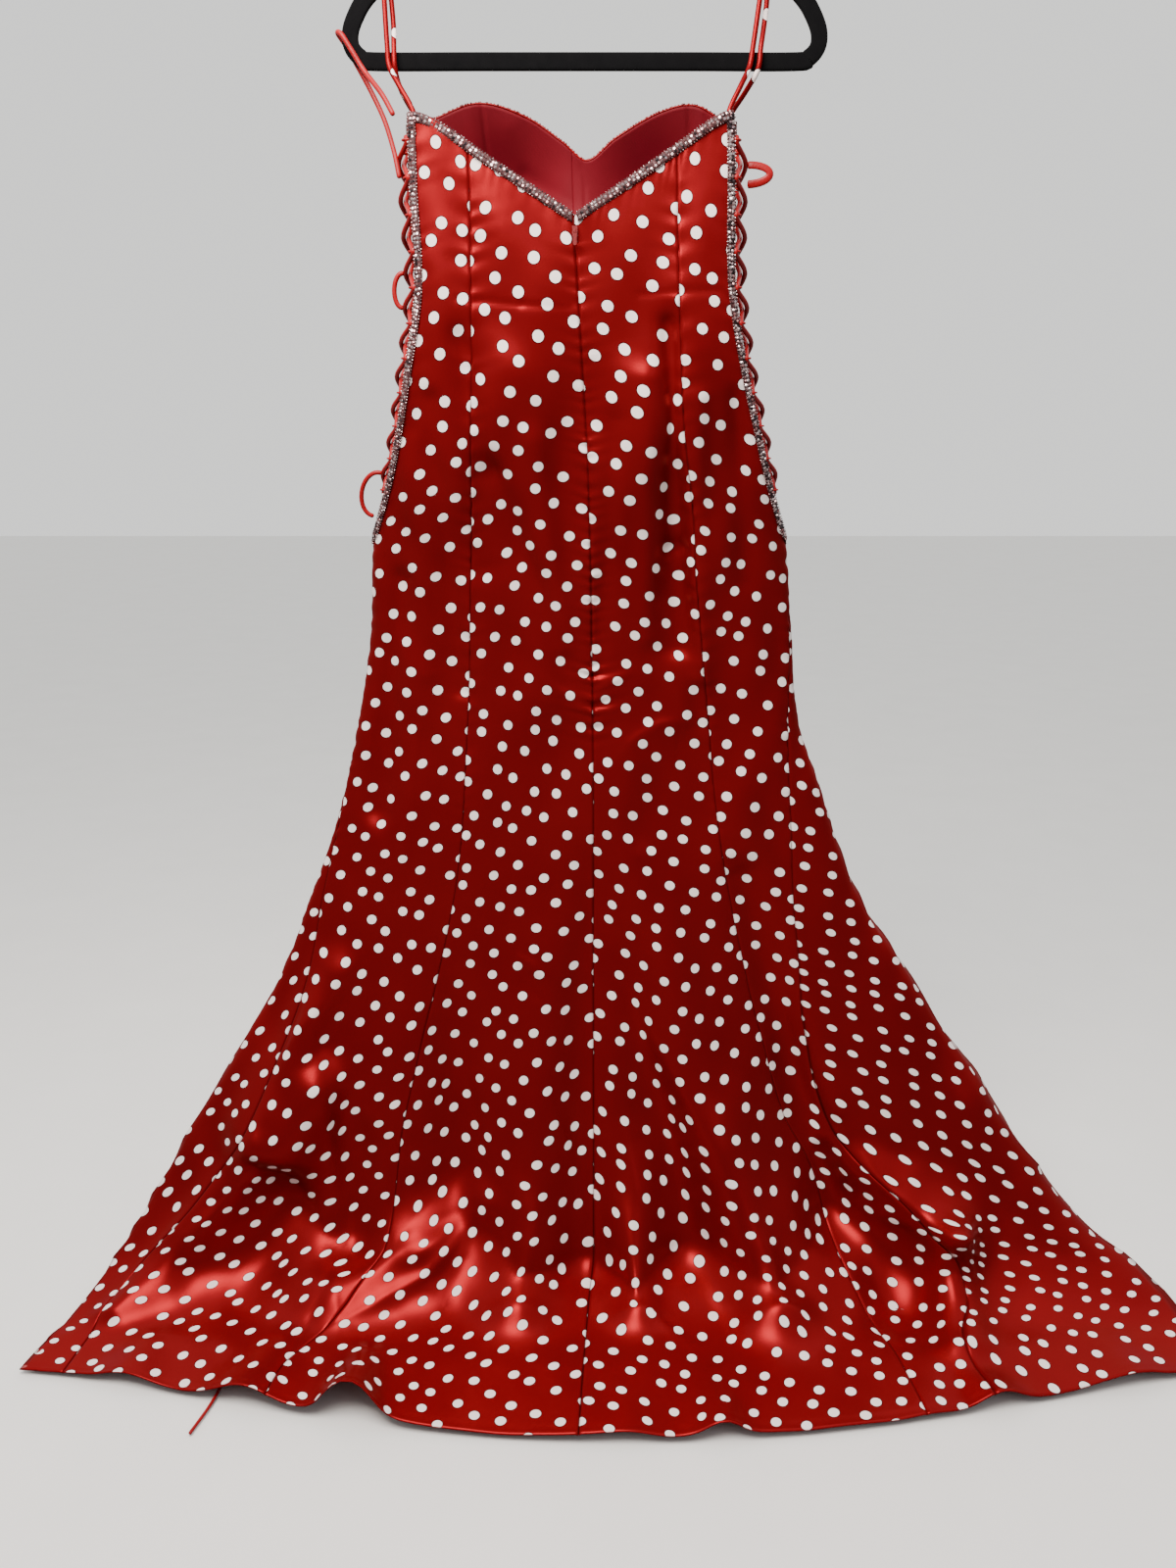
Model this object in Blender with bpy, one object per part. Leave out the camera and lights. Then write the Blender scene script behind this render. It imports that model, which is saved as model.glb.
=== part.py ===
"""Formal gown with spaghetti straps and laced sides, hung from a flat hanger with its back to the front.

Metres, +Z up, the gown's back towards -Y. The origin is the inside top of the hanger's hook.

The cloth is one surface S(r, down): r runs once round the gown (0 left edge, 1 centre back, 2 right
edge, 3 centre front) and down is the length down the cloth from the hook's level. Every panel is a
patch of that surface between two seams, given a wall, and stands 0.3 mm from its neighbours.
"""
import math
from collections import namedtuple

import bmesh
import bpy
import numpy as np
from mathutils import Vector

MM = 0.001

# Cloth, seams and trims
CLOTH = 1.2 * MM
SEAM_GAP = 0.3 * MM
TRIM_WIDTH = 8.5 * MM
TRIM_THICKNESS = 2.2 * MM
TRIM_PROUD = 1.1 * MM
TRIM_GAP = 0.70 * MM
TRIM_MITRE = 0.004
TRIM_FOOT_OUTER, TRIM_FOOT_INNER = 1.05 * MM, 11.9 * MM
LINING_THICKNESS = 2.0 * MM
LINING_GAP = 0.4 * MM
# the lining's halves stand this many times as far apart as two panels do
LINING_PARTING = 2.0
PICOT_RADIUS = 1.4 * MM
PICOT_GAP = 0.45 * MM
STRAP_RADIUS = 1.9 * MM
LACE_RADIUS = 1.7 * MM
FLOOR_Z = -1.510

# Levels down the gown. left and right are the side edges in X. The sections round off at the sides:
# square is how boxy they are, and root how fast they round.
Level = namedtuple("Level", "down left right side_y back_y front_y side_z back_z front_z square root")
LEVELS = (
    Level(0.235, -0.174, 0.148, 0.004, -0.029, 0.048, -0.235, -0.235, -0.235, 16.0, 0.50),
    Level(0.330, -0.173, 0.150, 0.006, -0.030, 0.058, -0.330, -0.330, -0.330, 16.0, 0.50),
    Level(0.420, -0.172, 0.154, 0.008, -0.027, 0.056, -0.420, -0.420, -0.420, 16.0, 0.50),
    Level(0.490, -0.184, 0.167, 0.016, -0.020, 0.062, -0.490, -0.490, -0.490, 14.0, 0.50),
    Level(0.560, -0.199, 0.186, 0.030, -0.006, 0.078, -0.560, -0.560, -0.560, 10.0, 0.50),
    Level(0.660, -0.226, 0.214, 0.056, 0.022, 0.108, -0.660, -0.660, -0.660, 5.0, 0.50),
    Level(0.760, -0.237, 0.228, 0.072, 0.040, 0.128, -0.760, -0.760, -0.760, 4.5, 0.50),
    Level(0.870, -0.259, 0.246, 0.077, 0.045, 0.138, -0.870, -0.870, -0.870, 4.0, 0.50),
    Level(0.980, -0.288, 0.284, 0.073, 0.041, 0.144, -0.980, -0.980, -0.980, 4.0, 0.50),
    Level(1.090, -0.329, 0.333, 0.063, 0.031, 0.148, -1.090, -1.090, -1.090, 4.0, 0.50),
    Level(1.190, -0.377, 0.405, 0.048, 0.016, 0.148, -1.190, -1.190, -1.190, 4.0, 0.50),
    Level(1.290, -0.439, 0.476, 0.026, -0.006, 0.144, -1.290, -1.290, -1.290, 4.0, 0.50),
    Level(1.380, -0.495, 0.536, -0.003, -0.037, 0.138, -1.380, -1.380, -1.380, 3.5, 0.60),
    Level(1.440, -0.529, 0.590, -0.034, -0.068, 0.132, -1.440, -1.438, -1.440, 3.0, 0.70),
    Level(1.480, -0.553, 0.640, -0.062, -0.094, 0.124, -1.476, -1.472, -1.484, 2.6, 0.85),
    Level(1.515, -0.573, 0.670, -0.104, -0.128, 0.102, -1.497, -1.492, -1.5075, 2.2, 1.00),
    Level(1.595, -0.590, 0.684, -0.152, -0.205, 0.026, -1.5025, -1.498, -1.5085, 2.0, 1.30),
    Level(1.675, -0.603, 0.692, -0.198, -0.290, -0.058, -1.5030, -1.500, -1.5085, 2.0, 1.50),
)
HEM_DOWN = LEVELS[-1].down
EDGE_CROWDING = 0.75

# Top edges, as down at each x. The back's is a V, in two legs that meet at its point
Edge = namedtuple("Edge", "x down")
BACK_NECK_LEFT = (Edge(-0.175, 0.270), Edge(-0.150, 0.271), Edge(-0.087, 0.308), Edge(-0.011, 0.355))
BACK_NECK_RIGHT = (Edge(-0.011, 0.355), Edge(0.039, 0.325), Edge(0.093, 0.291), Edge(0.128, 0.270),
                   Edge(0.150, 0.267))
FRONT_NECK = (
    Edge(-0.175, 0.270), Edge(-0.146, 0.258), Edge(-0.104, 0.244), Edge(-0.056, 0.255),
    Edge(-0.022, 0.276), Edge(0.001, 0.292), Edge(0.030, 0.272), Edge(0.075, 0.250),
    Edge(0.108, 0.246), Edge(0.135, 0.260), Edge(0.150, 0.268),
)

# Seams, as x at each level down the cloth
Seam = namedtuple("Seam", "down x")
CENTRE_BACK = (Seam(0.34, -0.011), Seam(0.46, -0.004), Seam(0.59, 0.003), Seam(0.82, 0.008),
               Seam(1.27, 0.009), Seam(1.43, 0.008), Seam(1.50, 0.003), Seam(1.68, -0.007))
PRINCESS_LEFT = (Seam(0.27, -0.107), Seam(0.42, -0.108), Seam(0.67, -0.120), Seam(0.88, -0.132),
                 Seam(1.00, -0.142), Seam(1.11, -0.161), Seam(1.33, -0.213), Seam(1.44, -0.230),
                 Seam(1.51, -0.262), Seam(1.60, -0.312), Seam(1.68, -0.326))
PRINCESS_RIGHT = (Seam(0.27, 0.084), Seam(0.43, 0.090), Seam(0.67, 0.114), Seam(0.84, 0.135),
                  Seam(1.00, 0.154), Seam(1.16, 0.189), Seam(1.32, 0.236), Seam(1.39, 0.272),
                  Seam(1.46, 0.296), Seam(1.54, 0.326), Seam(1.68, 0.346))
SIDE_LEFT_INSET = (Seam(0.66, 0.0), Seam(0.95, 0.001), Seam(1.06, 0.012), Seam(1.16, 0.036),
                   Seam(1.21, 0.046), Seam(1.34, 0.068), Seam(1.41, 0.060), Seam(1.49, 0.040),
                   Seam(1.60, 0.046), Seam(1.68, 0.052))
SIDE_RIGHT_INSET = (Seam(0.66, 0.0), Seam(0.72, 0.0), Seam(0.85, 0.014), Seam(1.00, 0.056),
                    Seam(1.11, 0.101), Seam(1.21, 0.165), Seam(1.34, 0.216), Seam(1.41, 0.190),
                    Seam(1.47, 0.214), Seam(1.56, 0.272), Seam(1.68, 0.276))
FRONT_PRINCESS_SHARE = 0.42

# The laced opening at each side: half widths behind and before the side line, trim included
Opening = namedtuple("Opening", "down back front")
OPENINGS = (Opening(0.20, 0.0420, 0.0360), Opening(0.45, 0.0390, 0.0350), Opening(0.55, 0.0320, 0.0290),
            Opening(0.62, 0.0225, 0.0215), Opening(0.65, 0.0130, 0.0130), Opening(0.667, 0.0, 0.0))
OPENING_END = 0.667

# Folds: a soft ridge (height over 0) or trough along a line, wider and higher or lower at its end
Fold = namedtuple("Fold", "x0 down0 x1 down1 width0 width1 height0 height1")
BACK_FOLDS = (
    # bodice and hips
    Fold(-0.120, 0.47, -0.108, 0.68, 0.016, 0.022, -0.005, -0.007),
    Fold(0.082, 0.45, 0.096, 0.77, 0.013, 0.018, -0.006, -0.009),
    Fold(0.112, 0.52, 0.125, 0.80, 0.012, 0.016, 0.004, 0.006),
    Fold(-0.196, 0.70, -0.236, 0.96, 0.012, 0.018, -0.006, -0.009),
    Fold(-0.060, 0.50, -0.030, 0.82, 0.030, 0.035, 0.006, 0.008),
    Fold(0.045, 0.50, 0.050, 0.80, 0.026, 0.030, 0.005, 0.007),
    # long flutes of the skirt, which deepen towards the floor
    Fold(-0.100, 0.95, -0.230, 1.30, 0.034, 0.046, 0.004, 0.014),
    Fold(-0.160, 1.06, -0.146, 1.42, 0.028, 0.038, -0.005, -0.026),
    Fold(-0.040, 1.08, -0.076, 1.51, 0.028, 0.034, 0.004, 0.024),
    Fold(0.000, 1.04, 0.000, 1.46, 0.026, 0.030, -0.003, -0.016),
    Fold(0.050, 1.34, 0.056, 1.51, 0.024, 0.028, 0.004, 0.020),
    Fold(0.012, 1.02, 0.122, 1.45, 0.030, 0.034, -0.005, -0.022),
    Fold(0.055, 1.02, 0.214, 1.52, 0.030, 0.042, 0.009, 0.036),
    Fold(0.180, 1.04, 0.286, 1.42, 0.024, 0.034, -0.009, -0.034),
    Fold(0.300, 1.36, 0.352, 1.50, 0.036, 0.044, -0.020, -0.018),
    Fold(0.285, 1.35, 0.420, 1.44, 0.024, 0.030, 0.018, 0.030),
    Fold(0.420, 1.44, 0.412, 1.58, 0.026, 0.028, 0.030, 0.016),
    Fold(0.480, 1.30, 0.620, 1.46, 0.050, 0.036, 0.012, 0.022),
    Fold(-0.290, 1.15, -0.392, 1.33, 0.026, 0.028, 0.014, 0.026),
    Fold(-0.315, 1.28, -0.352, 1.34, 0.032, 0.036, 0.026, 0.034),
    Fold(-0.276, 1.30, -0.268, 1.44, 0.028, 0.030, -0.010, -0.026),
    Fold(-0.128, 1.41, -0.285, 1.50, 0.026, 0.042, 0.016, 0.024),
    Fold(-0.400, 1.38, -0.530, 1.53, 0.030, 0.030, 0.026, 0.018),
    Fold(-0.340, 1.42, -0.400, 1.49, 0.040, 0.040, -0.022, -0.012),
    # waves of the hem on the floor
    Fold(-0.232, 1.585, -0.236, 1.68, 0.018, 0.026, 0.006, 0.034),
    Fold(-0.320, 1.56, -0.350, 1.68, 0.024, 0.040, 0.006, 0.020),
    Fold(0.138, 1.60, 0.140, 1.68, 0.016, 0.020, 0.003, 0.012),
    Fold(0.400, 1.60, 0.425, 1.68, 0.020, 0.026, 0.004, 0.016),
    Fold(0.560, 1.58, 0.575, 1.68, 0.026, 0.040, 0.003, 0.012),
    Fold(-0.470, 1.58, -0.480, 1.68, 0.030, 0.040, 0.003, 0.010),
    Fold(0.020, 1.60, 0.030, 1.68, 0.040, 0.050, 0.002, 0.007),
)
FRONT_FOLDS = (
    # the two cups of the bodice
    Fold(-0.078, 0.318, -0.078, 0.322, 0.052, 0.052, 0.034, 0.034),
    Fold(0.072, 0.316, 0.072, 0.320, 0.052, 0.052, 0.034, 0.034),
    # flutes of the skirt
    Fold(-0.150, 0.80, -0.240, 1.46, 0.030, 0.050, 0.004, 0.030),
    Fold(-0.110, 0.90, -0.130, 1.46, 0.028, 0.040, -0.004, -0.026),
    Fold(-0.060, 0.90, -0.030, 1.46, 0.030, 0.046, 0.004, 0.026),
    Fold(0.020, 0.95, 0.070, 1.46, 0.028, 0.040, -0.004, -0.024),
    Fold(0.080, 0.85, 0.180, 1.46, 0.030, 0.046, 0.005, 0.030),
    Fold(0.150, 0.90, 0.280, 1.36, 0.030, 0.044, -0.004, -0.022),
    Fold(0.200, 0.95, 0.400, 1.40, 0.034, 0.052, 0.004, 0.026),
    Fold(-0.240, 0.98, -0.380, 1.46, 0.030, 0.048, -0.004, -0.022),
)
EDGE_FADE = 0.10
# a fold stands out level down to the first length, and turns to stand up from the floor at the second
FOLD_TURN = (1.34, 1.60)
FLOOR_CLEARANCE = 1.5 * MM
FLOOR_SOFTNESS = 2.0 * MM

# Hanger, seen from behind the gown: the middle line of its right half, from the bar to the neck
Spot = namedtuple("Spot", "x z")
HANGER_HALF_HEIGHT = 7.5 * MM
HANGER_DEPTH = 6.0 * MM
HANGER_LINE = (
    Spot(0.0, -0.222), Spot(0.100, -0.222), Spot(0.194, -0.222), Spot(0.2060, -0.2190), Spot(0.2140, -0.2100),
    Spot(0.2145, -0.1980), Spot(0.2090, -0.1850), Spot(0.2000, -0.1720), Spot(0.1860, -0.1600),
    Spot(0.1600, -0.1460), Spot(0.1200, -0.1310), Spot(0.0700, -0.1170), Spot(0.0280, -0.1080),
)
HANGER_NECK = Spot(0.0, -0.1050)
HOOK_RADIUS = 1.9 * MM
HOOK_BEND = 22.9 * MM
HOOK_FOOT = -0.0970
HOOK_STEM = (Spot(0.0, -0.0600), Spot(0.0040, -0.0500))
HOOK_ARC = (-42.0, 206.0)

# Straps: one strand from the back corner over the hanger's arm, through its window and to the front
Route = namedtuple("Route", "x y z")
STRAP_LEFT = (
    Route(-0.1550, -0.0230, -0.2860), Route(-0.1570, -0.0228, -0.2680), Route(-0.1700, -0.0170, -0.2450),
    Route(-0.1790, -0.0080, -0.2280), Route(-0.1805, -0.0062, -0.2100), Route(-0.1815, -0.0056, -0.1750),
    Route(-0.1820, -0.0055, -0.1510), Route(-0.1815, -0.0044, -0.1460), Route(-0.1810, 0.0, -0.1440),
    Route(-0.1800, 0.0044, -0.1460), Route(-0.1785, 0.0055, -0.1510),
    Route(-0.1765, 0.0056, -0.1750), Route(-0.1750, 0.0010, -0.1950), Route(-0.1745, -0.0058, -0.2120),
    Route(-0.1740, -0.0068, -0.2300), Route(-0.1700, 0.0030, -0.2460), Route(-0.1610, 0.0300, -0.2620),
    Route(-0.1560, 0.0370, -0.2800),
)
STRAP_RIGHT = (
    Route(0.1300, -0.0229, -0.2860), Route(0.1320, -0.0227, -0.2680), Route(0.1430, -0.0170, -0.2450),
    Route(0.1510, -0.0080, -0.2280), Route(0.1540, -0.0062, -0.2100), Route(0.1590, -0.0056, -0.1700),
    Route(0.1620, -0.0055, -0.1420), Route(0.1630, -0.0044, -0.1370), Route(0.1640, 0.0, -0.1350),
    Route(0.1650, 0.0044, -0.1370), Route(0.1660, 0.0055, -0.1420), Route(0.1665, 0.0056, -0.1700),
    Route(0.1640, 0.0010, -0.1930), Route(0.1610, -0.0058, -0.2120),
    Route(0.1590, -0.0068, -0.2300), Route(0.1500, 0.0030, -0.2450), Route(0.1370, 0.0300, -0.2620),
    Route(0.1320, 0.0370, -0.2800),
)
# the lace's upper loop, caught over the left end of the hanger
LACE_CATCH = (
    Route(-0.1735, -0.0120, -0.3200), Route(-0.1780, -0.0080, -0.2980), Route(-0.1870, 0.0010, -0.2700),
    Route(-0.1990, 0.0068, -0.2450), Route(-0.2100, 0.0072, -0.2250), Route(-0.2200, 0.0064, -0.2080),
    Route(-0.2262, 0.0, -0.1990), Route(-0.2215, -0.0064, -0.2020), Route(-0.2130, -0.0070, -0.2150),
    Route(-0.2020, -0.0085, -0.2320), Route(-0.1850, -0.0230, -0.2540), Route(-0.1745, -0.0300, -0.2720),
)
# the lace's free end: from the foot of the left opening, down inside the skirt and out under the hem
LACE_TAIL = (
    Route(-0.2080, 0.0640, -0.6480), Route(-0.2090, 0.0700, -0.7000), Route(-0.2150, 0.0800, -0.8000),
    Route(-0.2350, 0.0880, -0.9500), Route(-0.2650, 0.0850, -1.1000), Route(-0.3050, 0.0750, -1.2400),
    Route(-0.3400, 0.0580, -1.3600), Route(-0.3620, 0.0350, -1.4400), Route(-0.3700, 0.0100, -1.4850),
    Route(-0.3740, -0.0250, -1.5027), Route(-0.3760, -0.0700, -1.5030), Route(-0.3770, -0.1400, -1.5036),
    Route(-0.3780, -0.2000, -1.5040), Route(-0.3830, -0.2400, -1.5055), Route(-0.3930, -0.2780, -1.5064),
)

# Lacing: strands cross the opening between turns that lie along its two edges
LACE_TURNS = 11
LACE_TOP, LACE_FOOT = 0.292, 0.606
LACE_GAP = 1.3 * MM
LACE_TURN_HALF = 2.6 * MM
LACE_CROSSING = 2.2 * MM
# free loops of the lace, out from one of its crossings, as long down the opening and standing out so far
Loop = namedtuple("Loop", "name side_r crossing length reach")
LACE_LOOPS = (
    Loop("lace_loop_left", 0.0, 3, 0.0314, 0.0080),
    Loop("lace_bow_left", 0.0, 9, 0.0440, 0.0150),
    Loop("lace_bow_right", 2.0, 0, 0.0165, 0.0200),
)
LOOP_STEPS = 10

# Zip: slider on the centre back seam, with a pull tab that swings on a pin across it
SLIDER_DOWN = 0.3700
SLIDER = Vector((5.0 * MM, 2.2 * MM, 9.0 * MM))
BRIDGE = Vector((1.6 * MM, 1.6 * MM, 2.4 * MM))
PIVOT_STANDOFF = 1.15 * MM
PULL_LENGTH = 12.5 * MM
PULL_HALF_WIDTH = 1.8 * MM
PULL_THICKNESS = 0.8 * MM
PULL_SLOT_HALF = 1.1 * MM
PULL_EAR = 0.7 * MM
PULL_THROAT = 1.65 * MM


def smooth(rows, column, key, at):
    """Hermite curve through one named column of a table, read at the given keys."""
    xs = np.array([getattr(row, key) for row in rows])
    ys = np.array([getattr(row, column) for row in rows])
    at = np.clip(np.asarray(at, float), xs[0], xs[-1])
    steps = np.diff(ys) / np.diff(xs)
    slopes = np.concatenate(([steps[0]], 0.5 * (steps[1:] + steps[:-1]), [steps[-1]]))
    i = np.clip(np.searchsorted(xs, at, side="right") - 1, 0, len(xs) - 2)
    h = xs[i + 1] - xs[i]
    t = (at - xs[i]) / h
    return ((2 * t**3 - 3 * t**2 + 1) * ys[i] + (t**3 - 2 * t**2 + t) * h * slopes[i]
            + (3 * t**2 - 2 * t**3) * ys[i + 1] + (t**3 - t**2) * h * slopes[i + 1])


def level(column, down):
    """One column of the levels at the given lengths down the cloth."""
    return smooth(LEVELS, column, "down", down)


def fold_height(folds, x, down):
    """Sum of the folds' heights at points of the cloth."""
    total = np.zeros(np.broadcast(x, down).shape)
    for f in folds:
        ax, ad = f.x1 - f.x0, f.down1 - f.down0
        along = ((x - f.x0) * ax + (down - f.down0) * ad) / (ax * ax + ad * ad)
        s = np.clip(along, 0.0, 1.0)
        away = np.hypot(x - f.x0 - s * ax, down - f.down0 - s * ad)
        width = f.width0 + s * (f.width1 - f.width0)
        total += (f.height0 + s * (f.height1 - f.height0)) * np.exp(-(away / width) ** 2)
    return total


def base_point(r, down):
    """The gown's smooth form, without folds."""
    r = np.mod(np.asarray(r, float), 4.0)
    down = np.asarray(down, float)
    behind = r <= 2.0
    t = np.where(behind, r - 1.0, 3.0 - r)
    share = np.sin(t * EDGE_CROWDING * math.pi / 2) / math.sin(EDGE_CROWDING * math.pi / 2)
    left, right = level("left", down), level("right", down)
    x = 0.5 * (left + right) + 0.5 * (right - left) * share
    rim = np.clip(1.0 - np.abs(share) ** level("square", down), 0.0, 1.0)
    y_blend = rim ** level("root", down)
    z_blend = np.sqrt(np.clip(1.0 - share**4, 0.0, 1.0))
    y_far = np.where(behind, level("back_y", down), level("front_y", down))
    z_far = np.where(behind, level("back_z", down), level("front_z", down))
    y = level("side_y", down) + (y_far - level("side_y", down)) * y_blend
    z = level("side_z", down) + (z_far - level("side_z", down)) * z_blend
    return np.stack(np.broadcast_arrays(x, y, z), -1), share, behind


def normals(surface, r, down):
    """Outward unit normals of a surface function."""
    dr, dd = 1e-4, 1e-4
    across = surface(r + dr, down) - surface(r - dr, down)
    low = np.clip(down - dd, LEVELS[0].down, HEM_DOWN)
    high = np.clip(down + dd, LEVELS[0].down, HEM_DOWN)
    along = surface(r, high) - surface(r, low)
    n = np.cross(along, across)
    return n / np.maximum(np.linalg.norm(n, axis=-1, keepdims=True), 1e-12)


def surface(r, down, offset=0.0):
    """Points of the cloth's outer face, or of a face moved out from it."""
    r, down = np.broadcast_arrays(np.asarray(r, float), np.asarray(down, float))
    points, share, behind = base_point(r, down)
    fade = np.clip((1.0 - np.abs(share)) / EDGE_FADE, 0.0, 1.0)
    fade = fade * fade * (3.0 - 2.0 * fade)
    x = points[..., 0]
    height = np.where(behind, fold_height(BACK_FOLDS, x, down), fold_height(FRONT_FOLDS, x, down)) * fade
    turned = np.clip((down - FOLD_TURN[0]) / (FOLD_TURN[1] - FOLD_TURN[0]), 0.0, 1.0)
    angle = turned * turned * (3.0 - 2.0 * turned) * math.pi / 2
    out = np.where(behind, -1.0, 1.0) * height
    points[..., 1] += out * np.cos(angle)
    points[..., 2] -= out * np.sin(angle)
    # the floor pushes back softly on a trough that would go through it
    above = points[..., 2] - FLOOR_Z - FLOOR_CLEARANCE
    points[..., 2] = FLOOR_Z + FLOOR_CLEARANCE + 0.5 * (above + np.hypot(above, FLOOR_SOFTNESS))
    if offset:
        points = points + normals(surface, r, down) * offset
    return points


def r_at_x(x, down, front=False):
    """The r where the level at down has this x."""
    left, right = level("left", down), level("right", down)
    share = np.clip((2 * x - left - right) / (right - left), -1.0, 1.0)
    k = EDGE_CROWDING * math.pi / 2
    t = np.arcsin(share * math.sin(k)) / k
    return 3.0 - t if front else 1.0 + t


def r_from_side(side_r, length, down):
    """The r at a length round the section from a side line; length over 0 goes to the back."""
    sign = 1.0 if side_r < 1.0 else -1.0
    down = np.atleast_1d(np.asarray(down, float))
    length = np.broadcast_to(length, down.shape)
    out = np.empty(down.shape)
    for i, (d, e) in enumerate(zip(down, length)):
        steps = np.linspace(0.0, 0.6, 400) * np.sign(e if e else 1.0) * sign
        line = base_point(side_r + steps, np.full(steps.shape, d))[0]
        arc = np.concatenate(([0.0], np.cumsum(np.linalg.norm(np.diff(line, axis=0), axis=1))))
        out[i] = side_r + np.interp(abs(e), arc, steps * np.sign(steps[-1])) * np.sign(steps[-1])
    return out


def seam_x(rows, down):
    """A seam's x at lengths down the cloth."""
    return smooth(rows, "x", "down", down)


def half_gap(r, down, toward):
    """r moved by half a seam gap, toward +1 or -1."""
    d = 1e-4
    pace = np.linalg.norm(base_point(r + d, down)[0] - base_point(r - d, down)[0], axis=-1) / (2 * d)
    return r + toward * 0.5 * SEAM_GAP / np.maximum(pace, 0.01)


# Rows of the panels: from the top edge to the bust, to the openings' ends, to the flare and the hem
CORNER_DOWN, NECK_SEAM_DOWN = 0.28, 0.30
NECK_ROWS, NECK_END = 4, 0.400
OPENING_DOWNS = (NECK_END, 0.445, 0.49, 0.535, 0.58, 0.62, 0.65, OPENING_END)
THIGH_ROWS, FLARE_DOWN = 8, 1.15
FLARE_ROWS = 15
FIXED_DOWNS = np.concatenate((
    OPENING_DOWNS,
    np.linspace(OPENING_END, FLARE_DOWN, THIGH_ROWS + 1)[1:],
    np.linspace(FLARE_DOWN, HEM_DOWN, FLARE_ROWS + 1)[1:]))
OPENING_ROW = NECK_ROWS + len(OPENING_DOWNS) - 1


def neck_down(r, extra=0.0):
    """The top edge's length down at r, moved down by extra."""
    points, _, behind = base_point(r, np.full(np.shape(r), CORNER_DOWN))
    x = points[..., 0]
    left, right = (smooth(leg, "down", "x", x) for leg in (BACK_NECK_LEFT, BACK_NECK_RIGHT))
    back = np.where(x < BACK_NECK_LEFT[-1].x, left, right)
    front = smooth(FRONT_NECK, "down", "x", x)
    return np.where(behind, back, front) + extra


def row_downs(i, r, trim=0.0):
    """The length down of row i at r; the first rows spread between the top edge and the bust."""
    if i >= NECK_ROWS:
        return np.full(np.shape(r), FIXED_DOWNS[i - NECK_ROWS])
    top = neck_down(r, trim)
    return top + (NECK_END - top) * i / NECK_ROWS


def opening_length(i, face):
    """Half width of the side opening with its trim at row i, on its back or front side."""
    if i < NECK_ROWS:
        down = CORNER_DOWN + (NECK_END - CORNER_DOWN) * i / NECK_ROWS
    else:
        down = FIXED_DOWNS[i - NECK_ROWS]
    return max(float(smooth(OPENINGS, face, "down", down)), 0.0), down


def side_edge(side_r, i, face):
    """The r of the side opening's or the side seam's line at row i, before any gap."""
    toward_back = 1.0 if face == "back" else -1.0
    if i < OPENING_ROW:
        length, down = opening_length(i, face)
        return float(r_from_side(side_r, toward_back * length, down)[0])
    down = FIXED_DOWNS[i - NECK_ROWS]
    if side_r < 1.0:
        return float(r_at_x(level("left", down) + seam_x(SIDE_LEFT_INSET, down), down))
    return float(r_at_x(level("right", down) - seam_x(SIDE_RIGHT_INSET, down), down))


def seam_line(rows):
    """A function that gives a back seam's r at row i."""
    def line(i):
        down = FIXED_DOWNS[i - NECK_ROWS] if i >= NECK_ROWS else NECK_SEAM_DOWN
        return float(r_at_x(seam_x(rows, down), down))
    return line


def front_princess(side):
    """A function that gives a front princess seam's r at row i."""
    def line(i):
        down = FIXED_DOWNS[max(i - NECK_ROWS, 0)]
        left, right = level("left", down), level("right", down)
        x = 0.5 * (left + right) + side * 0.5 * FRONT_PRINCESS_SHARE * (right - left)
        return float(r_at_x(x, down, front=True))
    return line


def left_back_edge(i):
    return side_edge(0.0, i, "back")


def right_back_edge(i):
    return side_edge(2.0, i, "back")


def right_front_edge(i):
    return side_edge(2.0, i, "front")


def left_front_edge(i):
    return 4.0 + side_edge(0.0, i, "front")


Panel = namedtuple("Panel", "name start end columns trimmed")
PANELS = (
    Panel("back_side_left", left_back_edge, seam_line(PRINCESS_LEFT), 7, True),
    Panel("back_centre_left", seam_line(PRINCESS_LEFT), seam_line(CENTRE_BACK), 10, True),
    Panel("back_centre_right", seam_line(CENTRE_BACK), seam_line(PRINCESS_RIGHT), 11, True),
    Panel("back_side_right", seam_line(PRINCESS_RIGHT), right_back_edge, 7, True),
    Panel("front_side_right", right_front_edge, front_princess(1.0), 8, False),
    Panel("front_centre", front_princess(1.0), front_princess(-1.0), 8, False),
    Panel("front_side_left", front_princess(-1.0), left_front_edge, 7, False),
)
ROWS = OPENING_ROW + THIGH_ROWS + FLARE_ROWS


def panel_grid(panel, rows=None):
    """The r and down of each grid point of a panel, as two arrays of rows by columns."""
    rows = ROWS if rows is None else rows
    rs, downs = [], []
    for i in range(rows + 1):
        _, down = opening_length(i, "back")
        start = half_gap(panel.start(i), down, 1.0)
        end = half_gap(panel.end(i), down, -1.0)
        r = np.linspace(start, end, panel.columns + 1)
        rs.append(r)
        downs.append(row_downs(i, r, TRIM_WIDTH + SEAM_GAP if panel.trimmed else 0.0))
    return np.array(rs), np.array(downs)


def new_material(name, rgb, roughness, metallic=0.0):
    """A plain Principled material."""
    material = bpy.data.materials.new(name)
    material.use_nodes = True
    shader = material.node_tree.nodes["Principled BSDF"]
    shader.inputs["Base Color"].default_value = (*rgb, 1.0)
    shader.inputs["Roughness"].default_value = roughness
    shader.inputs["Metallic"].default_value = metallic
    material.diffuse_color = (*rgb, 1.0)
    return material


def link(obj, material):
    """Put an object in the gown's collection with its material."""
    obj.data.materials.append(material)
    GOWN.objects.link(obj)
    return obj


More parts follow.
